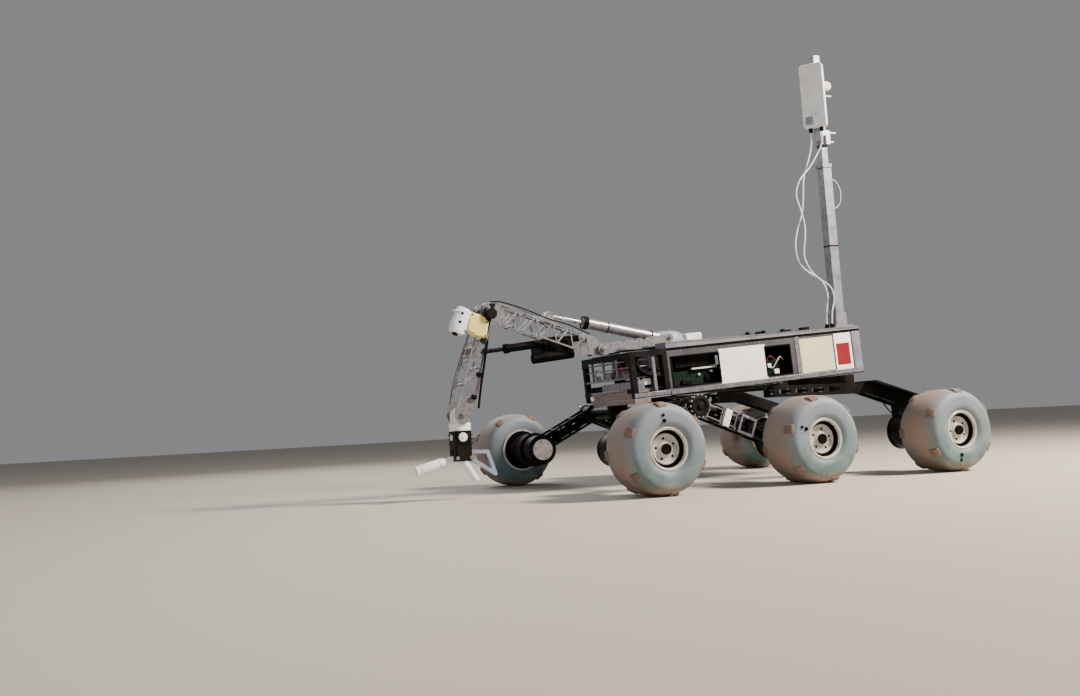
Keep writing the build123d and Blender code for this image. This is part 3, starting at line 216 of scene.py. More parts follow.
# The comment over each finish says what it is and what the eye sees of it
FINISH = {
    # cast soft polyurethane: grey-blue skin, darker and greener low down from painted shade, with orange
    # soil in the tread
    "tyre": tyre_rubber(),
    # injection-moulded polypropylene: warm pale grey, dull, with dusty scuffs
    "rim_plastic": finish("moulded_pale_plastic", "#BDBBB4", "#A29D93", 0.42, wear_mm=22, dust=0.22),
    # steel plate sprayed by hand: matt black with soft glints
    "black_metal": finish("sprayed_black_steel", "#060808", "#101314", 0.46, wear_mm=14, dust=0.08,
                          shine=0.10),
    # laser-cut aluminium, left bare: bright, scratched in small patches
    "bare_aluminium": finish("bare_milled_aluminium", "#99979C", "#7C7A80", 0.34, 0.70, 12, dust=0.18),
    # anodised square tube: even cool grey with a soft sheen
    "grey_metal": finish("anodised_aluminium", "#8B8C93", "#73747B", 0.42, 0.50, 30, dust=0.14),
    # composite sheet: satin dark grey in wide faint clouds
    "grey_panel": finish("satin_grey_sheet", "#505157", "#45464C", 0.40, 0.20, 60, dust=0.12),
    # moulded battery and computer cases: near black, little shine
    "black_plastic": finish("moulded_black_plastic", "#050606", "#0B0D0E", 0.42, wear_mm=25, dust=0.05,
                            shine=0.08),
    # folded steel box in enamel: very dark green
    "green_box": finish("dark_green_enamel", "#071A12", "#05140D", 0.40, wear_mm=30, dust=0.06,
                        shine=0.1),
    # vacuum-formed housing: pinkish grey and dusty
    "grey_plastic": finish("pinkish_grey_plastic", "#7F706B", "#6C5F5B", 0.55, wear_mm=20, dust=0.25),
    # ground and hard-chromed piston rod: a clear mirror
    "polished_rod": finish("chromed_rod", "#D8D8DA", "#C2C2C6", 0.18, 1.0, 40, relief=0.02, dust=0.06),
    # moulded and printed plastic: clean white with a slight gloss
    "white_plastic": finish("moulded_white_plastic", "#F0F0EF", "#DCDCDF", 0.40, wear_mm=40, dust=0.08),
    # rolled sheet under lacquer: pale lilac-grey
    "lid_sheet": finish("pale_lacquered_sheet", "#8E8D97", "#7A7983", 0.36, 0.35, 70, dust=0.20),
    # drawn and brushed aluminium profile, pale grey; also the painted highlight along the lid's top edges
    "bright_rail": finish("bright_aluminium_rail", "#8F8E96", "#74737A", 0.32, 0.55, 14, dust=0.12),
    # vinyl sheets without print: flat, clean colours
    "white_sheet": finish("plain_white_vinyl", "#F6F5F6", "#EEECEE", 0.45, wear_mm=80, dust=0.04),
    "cream_sheet": finish("plain_cream_vinyl", "#DCD6B0", "#CFC8A0", 0.45, wear_mm=80, dust=0.05),
    "red_sheet": finish("plain_red_vinyl", "#8A0A1C", "#780818", 0.45, wear_mm=60, dust=0.04),
    # printed filament box: pale yellow, matt
    "cream_box": finish("printed_cream_plastic", "#E6DB84", "#D6C876", 0.55, wear_mm=18, dust=0.12),
    # moulded dome and claw: dusty blue-grey
    "blue_grey": finish("moulded_blue_grey", "#8795A8", "#748296", 0.42, wear_mm=25, dust=0.12),
    # soft rubber: black, no shine
    "black_rubber": finish("black_rubber", "#030304", "#08090A", 0.60, wear_mm=10, dust=0.04, shine=0.05),
    # blackened steel rod, greased: dark with a dusty film
    "dark_rod": finish("blackened_steel_rod", "#0C0C0D", "#1A1918", 0.40, 0.4, 16, dust=0.10, shine=0.1),
    # rubber lugs caked with soil: rough brown-grey
    "lug_rubber": finish("soil_caked_rubber", "#625850", "#7E6656", 0.80, wear_mm=18, relief=0.4, dust=0.22),
    # turned aluminium covers: warm pale pink from fine dust
    "turned_cover": finish("turned_aluminium_cover", "#F8EAE6", "#E2D0CB", 0.45, 0.05, 22, dust=0.04),
    # PVC wire sleeves: soft, plain colours
    "red_wire": finish("red_pvc_wire", "#8E2C26", "#6E2420", 0.45, wear_mm=10, dust=0.08),
    "white_wire": finish("white_pvc_wire", "#E4E2E0", "#D4D0CC", 0.45, wear_mm=12, dust=0.08),
    "brown_wire": finish("brown_pvc_wire", "#7A4E34", "#60402C", 0.50, wear_mm=12, dust=0.08),
    # bare fibreglass circuit board: dark green
    "green_board": finish("green_circuit_board", "#0A2018", "#071812", 0.45, wear_mm=8, dust=0.04,
                          shine=0.1),
    # zinc-plated screws: light grey metal, speckled
    "zinc": finish("zinc_plated_steel", "#A8A8A6", "#7E7E7C", 0.35, 0.9, 6, dust=0.12),
}
# The CAD model's slot for each finish of a piece that isn't named for one
SLOT_OF = {"lid_sheet": "grey_panel", "bright_rail": "bare_aluminium", "zinc": "bare_aluminium",
           "lug_rubber": "tyre", "green_board": "green_box",
           **dict.fromkeys(("white_sheet", "cream_sheet", "red_sheet", "cream_box", "blue_grey",
                            "white_wire"), "white_plastic"),
           **dict.fromkeys(("black_rubber", "red_wire", "brown_wire"), "black_plastic")}


# Frames

def frame_at(origin, x_dir, z_dir):
    """A frame whose x and z run along the two directions."""
    z = Vector(z_dir).normalized()
    x = (Vector(x_dir) - z * Vector(x_dir).dot(z)).normalized()
    return Matrix.Translation(origin) @ Matrix((x, z.cross(x), z)).transposed().to_4x4()


def side_on(origin, s=1):
    """A frame with x forward and z out to the left, or to the right where s is -1."""
    return frame_at(origin, (1, 0, 0), (0, s, 0))


def upright(origin):
    """A frame with x forward and z up."""
    return frame_at(origin, (1, 0, 0), (0, 0, 1))


def shift(x=0.0, y=0.0, z=0.0):
    """A move by millimetres."""
    return Matrix.Translation((x * MM, y * MM, z * MM))


def turn(degrees):
    """A turn about z."""
    return Matrix.Rotation(math.radians(degrees), 4, "Z")


def around(count, radius, at, first=0.0, height=0.0):
    """Frames spread evenly on a circle about a frame's z, the first at an angle in degrees."""
    return [at @ turn(first + i * 360 / count) @ shift(radius, 0, height) for i in range(count)]


# Shapes: each is a pair of an array of points in metres and a list of faces

def moved(points_mm, at):
    """Points in millimetres in a frame, as metres in the row's frame."""
    m = np.array(at)
    return np.asarray(points_mm, float) * MM @ m[:3, :3].T + m[:3, 3]


def quads(rows, columns):
    """Faces of a grid whose columns close on themselves."""
    i, j = np.meshgrid(np.arange(rows - 1), np.arange(columns), indexing="ij")
    k = (j + 1) % columns
    return np.stack([i * columns + j, i * columns + k, (i + 1) * columns + k, (i + 1) * columns + j],
                    -1).reshape(-1, 4).tolist()


def turned(profile, at, steps=40):
    """A turned form: (r, h) of the profile goes to (r cos a, r sin a, h), a from 0 to 360 degrees."""
    r, h = np.array(profile, float).T
    a = np.linspace(0, 2 * np.pi, steps, endpoint=False)
    points = np.stack([np.outer(r, np.cos(a)), np.outer(r, np.sin(a)), np.outer(h, np.ones(steps))], -1)
    return moved(points.reshape(-1, 3), at), quads(len(r), steps)


def disc(radius, low, high, at, edge=1.0, steps=32):
    """A short cylinder with softened edges."""
    return turned([(0, low), (radius - edge, low), (radius, low + edge), (radius, high - edge),
                   (radius - edge, high), (0, high)], at, steps)


def collar(inner, outer, low, high, at, steps=40):
    """A ring with a rectangular section."""
    return turned([(inner, low), (outer, low), (outer, high), (inner, high), (inner, low)], at, steps)


def tube(path, radius_mm, steps=10):
    """A round tube about a path of points in metres, with closed ends."""
    p = np.array([tuple(v) for v in path], float)
    along = np.gradient(p, axis=0)
    along /= np.linalg.norm(along, axis=1)[:, None]
    reference = np.eye(3)[np.argmin(np.abs(along).max(axis=0))]
    side = np.cross(along, reference)
    side /= np.linalg.norm(side, axis=1)[:, None]
    up = np.cross(side, along)
    a = np.linspace(0, 2 * np.pi, steps, endpoint=False)
    ring = np.cos(a)[None, :, None] * side[:, None] + np.sin(a)[None, :, None] * up[:, None]
    body = p[:, None] + radius_mm * MM * ring
    ends = [np.repeat(p[k][None, None], steps, 1) for k in (0, -1)]
    points = np.concatenate([ends[0], body, ends[1]])
    return points.reshape(-1, 3), quads(len(points), steps)


def curve(points, steps=24):
    """A smooth line through points in metres (Catmull-Rom): it leaves each point along its neighbours."""
    p = np.array([tuple(v) for v in points], float)
    p = np.concatenate([2 * p[:1] - p[1:2], p, 2 * p[-1:] - p[-2:-1]])
    t = np.linspace(0, 1, steps, endpoint=False)[:, None]
    a, b, c, d = p[:-3, None], p[1:-2, None], p[2:-1, None], p[3:, None]
    squared, cubed = 2 * a - 5 * b + 4 * c - d, 3 * b - a - 3 * c + d
    line = 0.5 * (2 * b + (c - a) * t + squared * t ** 2 + cubed * t ** 3)
    return np.concatenate([line.reshape(-1, 3), p[-2:-1]])


def wire(points, radius_mm, fine=10, steps=8):
    """A round wire through points in metres."""
    return tube(curve(points, fine), radius_mm, steps)


def slab(outline, low, high, at):
    """A flat plate: its outline in a frame's x and y, from low to high along z."""
    n = len(outline)
    flat = np.array(outline, float)
    points = np.concatenate([np.column_stack([flat, np.full(n, z)]) for z in (low, high)])
    sides = [(i, (i + 1) % n, n + (i + 1) % n, n + i) for i in range(n)]
    return moved(points, at), [tuple(range(n))[::-1], tuple(range(n, 2 * n))] + sides


def block(x, y, z, at):
    """A box from its three ranges in a frame."""
    return slab([(x[0], y[0]), (x[1], y[0]), (x[1], y[1]), (x[0], y[1])], z[0], z[1], at)


def border(x, y, wall, low, high, at):
    """Four bars round a rectangular opening."""
    inner = (y[0] + wall, y[1] - wall)
    bars = ((x, (y[0], y[0] + wall)), (x, (y[1] - wall, y[1])), ((x[0], x[0] + wall), inner),
            ((x[1] - wall, x[1]), inner))
    return [block(across, up, (low, high), at) for across, up in bars]


SHARP_ANGLE = math.radians(35.0)


def piece(name, shapes, look, body="chassis", bevel_mm=0.0, replaces=(), slot=None):
    """One object of several shapes that rides on a body, with its seams closed and its faces outward."""
    shapes = shapes if isinstance(shapes, list) else [shapes]
    starts = np.cumsum([0] + [len(points) for points, _ in shapes])
    data = bpy.data.meshes.new(name)
    faces = [[start + v for v in face] for (_, group), start in zip(shapes, starts) for face in group]
    data.from_pydata(np.concatenate([points for points, _ in shapes]).tolist(), [], faces)
    mesh = bmesh.new()
    mesh.from_mesh(data)
    bmesh.ops.remove_doubles(mesh, verts=mesh.verts, dist=1e-6)
    bmesh.ops.dissolve_degenerate(mesh, edges=mesh.edges, dist=1e-7)
    bmesh.ops.recalc_face_normals(mesh, faces=mesh.faces)
    mesh.to_mesh(data)
    mesh.free()
    data.polygons.foreach_set("use_smooth", [True] * len(data.polygons))
    data.set_sharp_from_angle(angle=SHARP_ANGLE)
    data.materials.append(FINISH[look])
    thing = link(name, data)
    if bevel_mm:
        rounding = thing.modifiers.new("rounding", "BEVEL")
        rounding.width, rounding.segments, rounding.limit_method = bevel_mm * MM, 2, "ANGLE"
    slot = slot or SLOT_OF.get(look, look)
    if replaces:
        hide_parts(*replaces)
    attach(thing, body)


# Wheels: tyres, lugs, valves, rolled rim edges, hub caps, and black rings and discs of painted shade in the
# rims' recesses and holes

AXLES = {"front": 609.0, "middle": 0.0, "rear": -609.0}
AXLE_Z = 150.0
TYRE_R, BELLY_R, TYRE_ROUNDNESS, BEAD_ANGLE = 150.0, 104.0, 3.2, 25.0
RIM_R, RIM_HALF_W, RECESS_DEEP = 68.0, 80.0, 20.0
LUG_COUNT, LUG_PHASE = 6, {"front": 24.0, "middle": 16.0, "rear": 28.0}
LUG_HALF_CHORD, LUG_ROOT_R = 16.0, 118.0
# a lug's sloping face: its height over the tread, and how far it is from the tyre's middle
LUG_FACE = ((1.0, 50.0), (-1.5, 74.0), (-10.0, 85.0))
VALVE_ANGLE = {"front": 80.0, "middle": 24.0, "rear": -77.0}
VALVES = ((91.0, 6.5), (109.0, 5.0))    # how far each is from the axle, and its radius
VALVE_SUNK = 3.0
FLANGE_IN, COVER_R = RIM_HALF_W + 19.0, 78.0
# the rim's holes are drawn as thin black discs of painted shade
RIM_HOLES, RIM_HOLE_R, HOLE_CIRCLE_R = 5, 4.6, 34.0
# profiles as (radius, height): the rolled edge over the rim's lip, and the rest over its disc, of which the
# black recess ring is painted shade in the rim's recess
RIM_LIP = [(60.3, -6.0), (60.3, -1.5), (62.0, 3.0), (66.5, 4.5), (71.0, 2.0), (71.5, -3.0), (68.6, -3.0),
           (68.6, 0.3), (60.9, 0.3), (60.9, -6.0), (60.3, -6.0)]
DISC_RING = [(43.0, -0.5), (43.0, 2.0), (46.0, 4.0), (49.5, 3.0), (50.5, -0.5), (43.0, -0.5)]
HUB_RING = [(17.0, -0.5), (17.0, 5.0), (24.0, 4.0), (29.0, -0.5), (17.0, -0.5)]
HUB_CAP = [(0, 3.0), (17.5, 3.0), (17.5, 11.5), (15.5, 13.5), (10.0, 13.5), (9.0, 12.3), (0, 12.3)]
RECESS_PAINTED_SHADE = [(50.5, -0.2), (50.5, 0.9), (60.1, 0.9), (60.1, RECESS_DEEP - 6.5), (60.9, RECESS_DEEP - 6.5),
          (60.9, -0.2), (50.5, -0.2)]


def tyre_section():
    """(r, h) of a superellipse round the belly's radius, from one bead over the tread to the other."""
    t = np.radians(np.linspace(-BEAD_ANGLE, 180 + BEAD_ANGLE, 41))
    power = 2 / TYRE_ROUNDNESS
    h = np.sign(np.cos(t)) * np.abs(np.cos(t)) ** power * TYRE_HALF_W
    r = BELLY_R + np.sign(np.sin(t)) * np.abs(np.sin(t)) ** power * (TYRE_R - BELLY_R)
    return [(RIM_R, RIM_HALF_W), *zip(r, h), (RIM_R, -RIM_HALF_W), (RIM_R, RIM_HALF_W)]


def lugs(at, s, phase):
    """Shoulder lugs: blocks with a sloping outer face, set between each other on the two shoulders."""
    shapes = []
    for outer in (1, -1):
        start = phase + (0 if outer == 1 else 180 / LUG_COUNT)
        side = [(LUG_ROOT_R, outer * LUG_FACE[0][1]), *((TYRE_R + rise, outer * h) for rise, h in LUG_FACE),
                (LUG_ROOT_R, outer * LUG_FACE[-1][1])]
        for spoke in around(LUG_COUNT, 0, at, -s * start):
            on_edge = spoke @ Matrix.Rotation(math.radians(90), 4, "X")
            shapes.append(slab(side, -LUG_HALF_CHORD, LUG_HALF_CHORD, on_edge))
    return shapes


def build_wheel(axle, side):
    """A wheel in a frame with z outward; its angles run from forward to up on both sides."""
    s, tag = SIDES[side], "_" + axle + "_" + side
    body = "wheel" + tag
    at = side_on(place(AXLES[axle], s * WHEEL_Y, AXLE_Z), s)
    outer_edge = at @ shift(z=RIM_HALF_W)
    inner_edge = at @ shift(z=-RIM_HALF_W) @ Matrix.Rotation(math.pi, 4, "X")
    face = outer_edge @ shift(z=-RECESS_DEEP)
    piece("tyre_skin" + tag, turned(tyre_section(), at, 72), "tyre", body, replaces=["tyre" + tag])
    piece("tyre_lugs" + tag, lugs(at, s, LUG_PHASE[axle]), "lug_rubber", body, bevel_mm=3.0)
    piece("rim_lips" + tag, [turned(RIM_LIP, outer_edge, 64), turned(RIM_LIP, inner_edge, 64),
                             turned(DISC_RING, face, 64), turned(HUB_RING, face, 48)], "rim_plastic", body)
    angle = -s * VALVE_ANGLE[axle]
    # the black ring in the rim's recess is painted shade
    dark = [turned(HUB_CAP, face, 32), turned(RECESS_PAINTED_SHADE, face, 64)]
    dark += [disc(r, 0, 7.0, at @ turn(angle) @ shift(from_axle, 0, TYRE_HALF_W - VALVE_SUNK), 1.5, 20)
             for from_axle, r in VALVES]
    dark.append(disc(COVER_R, -FLANGE_IN - 1.2, -FLANGE_IN + 0.5, at, 0.5, 56))
    # black discs in place of the rim's holes: painted shade in the holes
    dark += [disc(RIM_HOLE_R, -0.3, 0.5, seat, 0.3, 16)
             for seat in around(RIM_HOLES, HOLE_CIRCLE_R, face, angle)]
    piece("hub_caps_and_painted_shade" + tag, dark, "black_rubber", body)


# Motors: rings and screws

MOTOR_R, MOTOR_OUTER = 57.5, 501.0
MOTOR_INNER = {"front": 300.0, "middle": 366.0, "rear": 366.0}
MOTOR_SCREWS, MOTOR_SCREW_CIRCLE_R = 6, 33.0


def build_motors():
    """Raised rings round each motor's case and the screws in its inner end."""
    rings, screws = [], []
    for s in SIDES.values():
        for axle, x in AXLES.items():
            at, inner = side_on(place(x, 0, AXLE_Z), s), MOTOR_INNER[axle]
            for h, width in ((inner - 1.5, 9.0), (MOTOR_OUTER - 34.0, 6.0), (MOTOR_OUTER - 14.0, 6.0)):
                rings.append(turned([(MOTOR_R - 16, h), (MOTOR_R, h), (MOTOR_R + 1.6, h + 1.2),
                                     (MOTOR_R + 1.6, h + width - 1), (MOTOR_R - 1, h + width),
                                     (MOTOR_R - 16, h)], at, 48))
            screws += [disc(3.2, -2.2, 0.5, seat, 0.8, 12)
                       for seat in around(MOTOR_SCREWS, MOTOR_SCREW_CIRCLE_R, at, 15, inner - 8)]
    piece("motor_rings", rings, "black_metal")
    piece("motor_screws", screws, "zinc")


# Bogies: toothed pivot caps, light window frames, bolts, cables inside, and a band on the near leg

BOGIE_PIVOT = (335.0, 284.0)
LEG_FACE = 436.0
LEG_BAR, LEG_RIB, LEG_WINDOWS = 60.0, 9.0, 4
HUB_R, CLAMP_R, CLAMP_RIM = 34.0, 64.5, 3.0
FRAMED_WINDOWS, FRAME_LAP, FRAME_WALL = 2, 2.5, 4.0
CLAMP_BOLTS, PIVOT_COGS, PIVOT_CAP_H = 10, 14, 16.0
CAP_RING = [(22, 0), (22, 3), (30, 4), (36, 3), (36, -0.5), (22, 0)]
# cables inside a leg: depth behind its face, place across it, and height of their waves
LOOMS = ((46, -11, 4), (34, 8, -5), (20, -4, 6))
LOOM_R, LOOM_WAVE = 8.0, 19.0


def leg_frame(s, motor_x):
    """A bogie leg's frame on its outer face, x down the leg from the pivot, and the leg's length."""
    dx, dz = motor_x - BOGIE_PIVOT[0], AXLE_Z - BOGIE_PIVOT[1]
    at = frame_at(place(BOGIE_PIVOT[0], s * LEG_FACE, BOGIE_PIVOT[1]), (dx, 0, dz), (0, s, 0))
    return at, math.hypot(dx, dz)


def build_bogies():
    """Window frames, bolts and inside cables of four legs, two toothed caps, and the near leg's band."""
    frames, bolts, rings, cogs, looms = [], [], [], [], []
    half = LEG_BAR / 2 - LEG_RIB
    for s in SIDES.values():
        for motor_x in (AXLES["front"], AXLES["middle"]):
            at, length = leg_frame(s, motor_x)
            first, last = HUB_R + CLAMP_RIM + LEG_RIB, length - CLAMP_R - CLAMP_RIM - LEG_RIB
            step = (last - first + LEG_RIB) / LEG_WINDOWS
            for start in (first + i * step for i in range(FRAMED_WINDOWS)):
                frames += border((start - FRAME_LAP, start + step - LEG_RIB + FRAME_LAP),
                                 (-half - FRAME_LAP, half + FRAME_LAP), FRAME_WALL, -0.5, 1.6, at)
            for rib in (first + i * step - LEG_RIB / 2 for i in range(LEG_WINDOWS + 1)):
                for across in (half + LEG_RIB / 2 + 1, -half - LEG_RIB / 2 - 1):
                    bolts.append(disc(3.6, -0.5, 3.0, at @ shift(rib, across), 0.9, 12))
            bolts += [disc(3.2, -0.5, 2.6, seat, 0.8, 12)
                      for seat in around(CLAMP_BOLTS, CLAMP_R - 1.5, at @ shift(length))]
            for depth, across, wave in LOOMS:
                line = [at @ vector(x, across + wave * math.sin(x / LOOM_WAVE), -depth)
                        for x in np.arange(HUB_R, length - CLAMP_R + 12, 16.0)]
                looms.append(wire(line, LOOM_R, 4, 10))
        cap = side_on(place(BOGIE_PIVOT[0], s * (LEG_FACE + PIVOT_CAP_H), BOGIE_PIVOT[1]), s)
        rings += [turned(CAP_RING, cap, 48), disc(11, -0.5, 7, cap, 2, 24)]
        cogs += [block((33.0, 41.0), (-3.6, 3.6), (1 - PIVOT_CAP_H, 1.5), seat)
                 for seat in around(PIVOT_COGS, 0, cap)]
    piece("bogie_window_frames", frames, "bright_rail")
    piece("bogie_bolts", bolts, "zinc")
    piece("pivot_cap_rings", rings, "black_metal", bevel_mm=0.6)
    piece("pivot_cap_cogs", cogs, "zinc", bevel_mm=0.6)
    piece("leg_looms", looms, "black_rubber")
    near, _ = leg_frame(1, AXLES["middle"])
    piece("leg_white_band", block((112, 139), (-31, 31), (-1, 3.5), near), "white_plastic", bevel_mm=1.5)
    piece("leg_square_frame", border((178, 244), (-33, 33), 8.0, -0.5, 5.0, near), "bright_rail",
          bevel_mm=1.0)


# Body: plates, screws, window frames, rails, wiring and what shows inside

BODY_PITCH = math.radians(4.0)
BODY_MID = (-151.0, 361.7)
HALF_L, BODY_HALF_W, BODY_H = 450.0, 200.0, 175.0
NOSE_FRONT, SHELF_TOP, HIGH_SHELF_TOP = 605.0, 37.2, 81.2
WINDOW_Z = (29.0, 141.0)
WINDOWS = ((227.5, 436.0), (-102.0, 16.0))
BODY = frame_at(place(BODY_MID[0], 0, BODY_MID[1]), (math.cos(BODY_PITCH), 0, -math.sin(BODY_PITCH)),
                (math.sin(BODY_PITCH), 0, math.cos(BODY_PITCH)))
# plain sheets on the left panel, where the object carries signs: x, heights, thickness, look, bevel
SHEETS = {
    "plate_white": ((14, 226), (20, 152), 1.4, "white_sheet", 0.4),
    "plate_cream": ((-311, -150), (22, 157), 1.4, "cream_sheet", 0.4),
    "plate_tall": ((-402, -318), (14, 164), 1.4, "white_sheet", 0.4),
    "plate_red": ((-391, -326), (38, 124), 2.0, "red_sheet", 0.3),
    "rear_strip": ((-449, -410), (6, 166), 1.2, "lid_sheet", 0.4),
}
RAIL_TOP, PANEL_TOP = 20.0, 166.0
SCREW_STEP, SCREW_HEIGHTS = 59.0, (11.0, 161.0)
# boxes in the body's frame, as their ranges along x, y and z
INSIDE_BOARDS = (((229, 432), (162, 165), (24, 84)), ((-70, 4), (162, 165), (24, 88)))
INSIDE_CASES = (((226, 408), (-60, 174), (97, 146)), ((-98, -76), (140, 172), (8, 110)),
                ((250, 276), (165, 173), (40, 62)), ((340, 380), (165, 172), (34, 52)))
INSIDE_BLOCKS = (((-60, -38), (165, 174), (34, 52)), ((-24, -8), (165, 176), (60, 76)),
                 ((516, 566), (150, 176), (50, 74)), ((244, 252), (165, 174), (70, 78)),
                 ((228, 336), (168, 180), (86, 92)), ((300, 307), (165, 174), (62, 70)))
NOSE_RAILS = (((500, 512), (184, 194), (24, 155)), ((452, 604), (199.8, 202.2), (6, 22)),
              ((602, 606.5), (-178, 178), (34, 40)), ((602, 606.5), (-178, 178), (78, 84)))
# modules on the upper shelf: x, y, width and height of each, all as long as MODULE_L
MODULES, MODULE_L = ((556, 96, 40, 26), (552, 34, 44, 18), (560, -36, 50, 30), (556, -120, 60, 22)), 34
# wires in the body's frame: each one's radius and the points that it passes
RED_WIRES = ((1.4, ((10, 165, 46), (-20, 174, 104), (-58, 172, 84), (-96, 168, 118))),
             (2.2, ((598, 60, 86), (586, 96, 118), (596, 130, 98), (580, 160, 134), (560, 184, 120))),
             (2.2, ((598, 20, 86), (590, 76, 136), (592, 120, 112), (570, 150, 96))))
WHITE_WIRES = ((1.5, ((8, 170, 90), (-30, 172, 58), (-70, 174, 98), (-98, 166, 60))),
               (2.2, ((600, -40, 86), (590, -90, 128), (580, -140, 100), (560, -170, 130))))
HOSES = ((9.0, ((572, 176, 164), (573, 180, 134), (560, 183, 104), (528, 184, 86), (484, 180, 76))),
         (5.0, ((560, 168, 40), (552, 176, 90), (520, 178, 104), (478, 170, 96))),
         (3.0, ((600, 176, 92), (560, 170, 150), (500, 150, 166))))


def on_body(x, y, z):
    """A point in metres from millimetres in the body's frame."""
    return BODY @ vector(x, y, z)


def boxes(ranges):
    """Blocks in the body's frame."""
    return [block(x, y, z, BODY) for x, y, z in ranges]


def strands(routes):
    """Wires in the body's frame."""
    return [wire([on_body(*p) for p in points], radius) for radius, points in routes]


def side_face(s):
    """A side panel's outer face: x forward, z outward, and a height h at y = -s h."""
    return BODY @ side_on(vector(0, s * BODY_HALF_W, 0), s)


def heights(s, low, high):
    """A range of heights as a range along y of a side panel's face."""
    return tuple(sorted((-s * low, -s * high)))


def build_sheets():
    """The plain sheets of SHEETS."""
    for name, (x, z, thick, look, bevel) in SHEETS.items():
        piece(name, block(x, heights(1, *z), (0.15, thick), side_face(1)), look, bevel_mm=bevel)


def build_side_trim():
    """Rails, window edges, the seam post and screws on both sides."""
    rails, screws, dark = [], [], []
    for s in SIDES.values():
        face = side_face(s)
        rails.append(block((-HALF_L, HALF_L), heights(s, 2.6, RAIL_TOP), (0.1, 2.6), face))
        rails.append(block((-148, -128), heights(s, RAIL_TOP, PANEL_TOP), (0.1, 2.2), face))
        for x_from, x_to in WINDOWS:
            low, high = heights(s, *WINDOW_Z)
            dark += border((x_from - 3, x_to + 3), (low - 3, high + 3), 5.0, -3.5, 1.8, face)
        for x in np.arange(-436, HALF_L, SCREW_STEP):
            for z in SCREW_HEIGHTS:
                on_rail = 2.4 if z < RAIL_TOP else 0
                screws.append(disc(2.6, -0.3, 1.9, face @ shift(x, -s * z, on_rail), 0.7, 10))
    piece("side_rails", rails, "bright_rail", bevel_mm=0.6)
    piece("window_edges", dark, "black_rubber", bevel_mm=0.5)
    piece("side_screws", screws, "zinc")


def build_inside():
    """Boards, boxes and wires behind the windows and in the open nose."""
    piece("inside_boards", boxes(INSIDE_BOARDS), "green_board", bevel_mm=0.3)
    piece("inside_cases", boxes(INSIDE_CASES), "black_plastic", bevel_mm=1.5)
    piece("inside_blocks", boxes(INSIDE_BLOCKS), "white_plastic", bevel_mm=1.0)
    piece("red_wires", strands(RED_WIRES), "red_wire")
    piece("white_wires", strands(WHITE_WIRES), "white_wire")
    piece("black_hoses", strands(HOSES), "black_rubber")


def build_nose_trim():
    """Bright inner posts and rails of the nose, brackets at its corners, and modules on its shelves."""
    piece("nose_bright_rails", boxes(NOSE_RAILS), "bright_rail", bevel_mm=0.8)
    front = (NOSE_FRONT - 0.2, NOSE_FRONT + 2.5)
    corners = [(front, tuple(sorted((s * 152, s * 199))), (z, z + 17))
               for s in SIDES.values() for z in (24, 138)]
    piece("nose_corner_plates", boxes(corners), "black_metal", bevel_mm=0.8)
    plugs = [((560, 598), (y, y + 24), (SHELF_TOP, 62)) for y in (-160, -124, -92)]
    low_case = ((474, 540), (-60, 172), (SHELF_TOP, 74))
    piece("shelf_plugs", boxes([*plugs, low_case]), "black_plastic", bevel_mm=2.0)
    piece("nose_case", boxes([((456, 500), (-150, 150), (HIGH_SHELF_TOP, 160))]), "lid_sheet", bevel_mm=3.0,
          slot="grey_metal")
    modules = [((x, x + MODULE_L), (y, y + wide), (HIGH_SHELF_TOP, HIGH_SHELF_TOP + tall))
               for x, y, wide, tall in MODULES]
    modules += [((592, 600), (y, y + 9), (84, 160)) for y in (-132, -40, 70)]
    modules += [((520, 600), (-176, 176), (z, z + 4)) for z in (118, 142)]
    piece("shelf_modules", boxes(modules), "grey_metal", bevel_mm=1.0)
    knob = BODY @ frame_at(vector(NOSE_FRONT, -128, 18), (0, 1, 0), (1, 0, 0))
    piece("driver_knob", disc(10, -0.5, 12, knob, 3, 28), "white_plastic")


LID_FRONT_H, LID_REAR_H = 23.0, 12.0
LID_REACH = HALF_L - 0.5
DOME_X, DOME_Y, DOME_R, DOME_STRETCH, DOME_WALL, DOME_RISE = 250, -142, 36.0, 2.9, 4.0, 58.0
CASE_X = 120
LID_KNOBS_X = (68, -6, -96)
LID_BOXES = ((-40, 13), (-160, 11), (-250, 15))    # the rear edge and height of each


def lid_z(x):
    """Height of the lid's top in the body's frame."""
    return BODY_H + LID_REAR_H + (x + HALF_L) / (2 * HALF_L) * (LID_FRONT_H - LID_REAR_H)


def on_lid(x, y):
    """An upright frame on the lid."""
    return upright(on_body(x, y, lid_z(x)))


def build_lid_trim():
    """A black seal under the lid, a black strip of painted shade under the floor's edge, a bright strip of
    painted highlight along the top of the lid's sides, and the lid's screws.
    """
    seal_and_painted_floor_shade, edges = [], []
    for s in SIDES.values():
        face = side_face(s)
        # the first strip is the black seal under the lid; the second, under the floor's edge, is painted
        # shade
        for low, high in ((166.6, 175.6), (-1.2, 2.4)):
            seal_and_painted_floor_shade.append(block((-LID_REACH, LID_REACH), heights(s, low, high), (-4.5, 1.2), face))
        # a bright strip along the top of the lid's side: a painted highlight on its edge
        outline = [(x, -s * (lid_z(x) - drop)) for x, drop in ((-449, 5), (449, 5), (449, 0.2), (-449, 0.2))]
        edges.append(slab(outline, -1.0, 1.6, face))
    piece("lid_seal_and_painted_floor_shade", seal_and_painted_floor_shade, "black_rubber")
    piece("lid_painted_edge_highlights", edges, "bright_rail")
    screws = [disc(4.0, -0.6, 2.6, on_lid(x, y), 1.0, 12)
              for x in np.arange(-425, 345, 95.0) for y in (-188, 188)]
    piece("lid_screws", screws, "zinc")


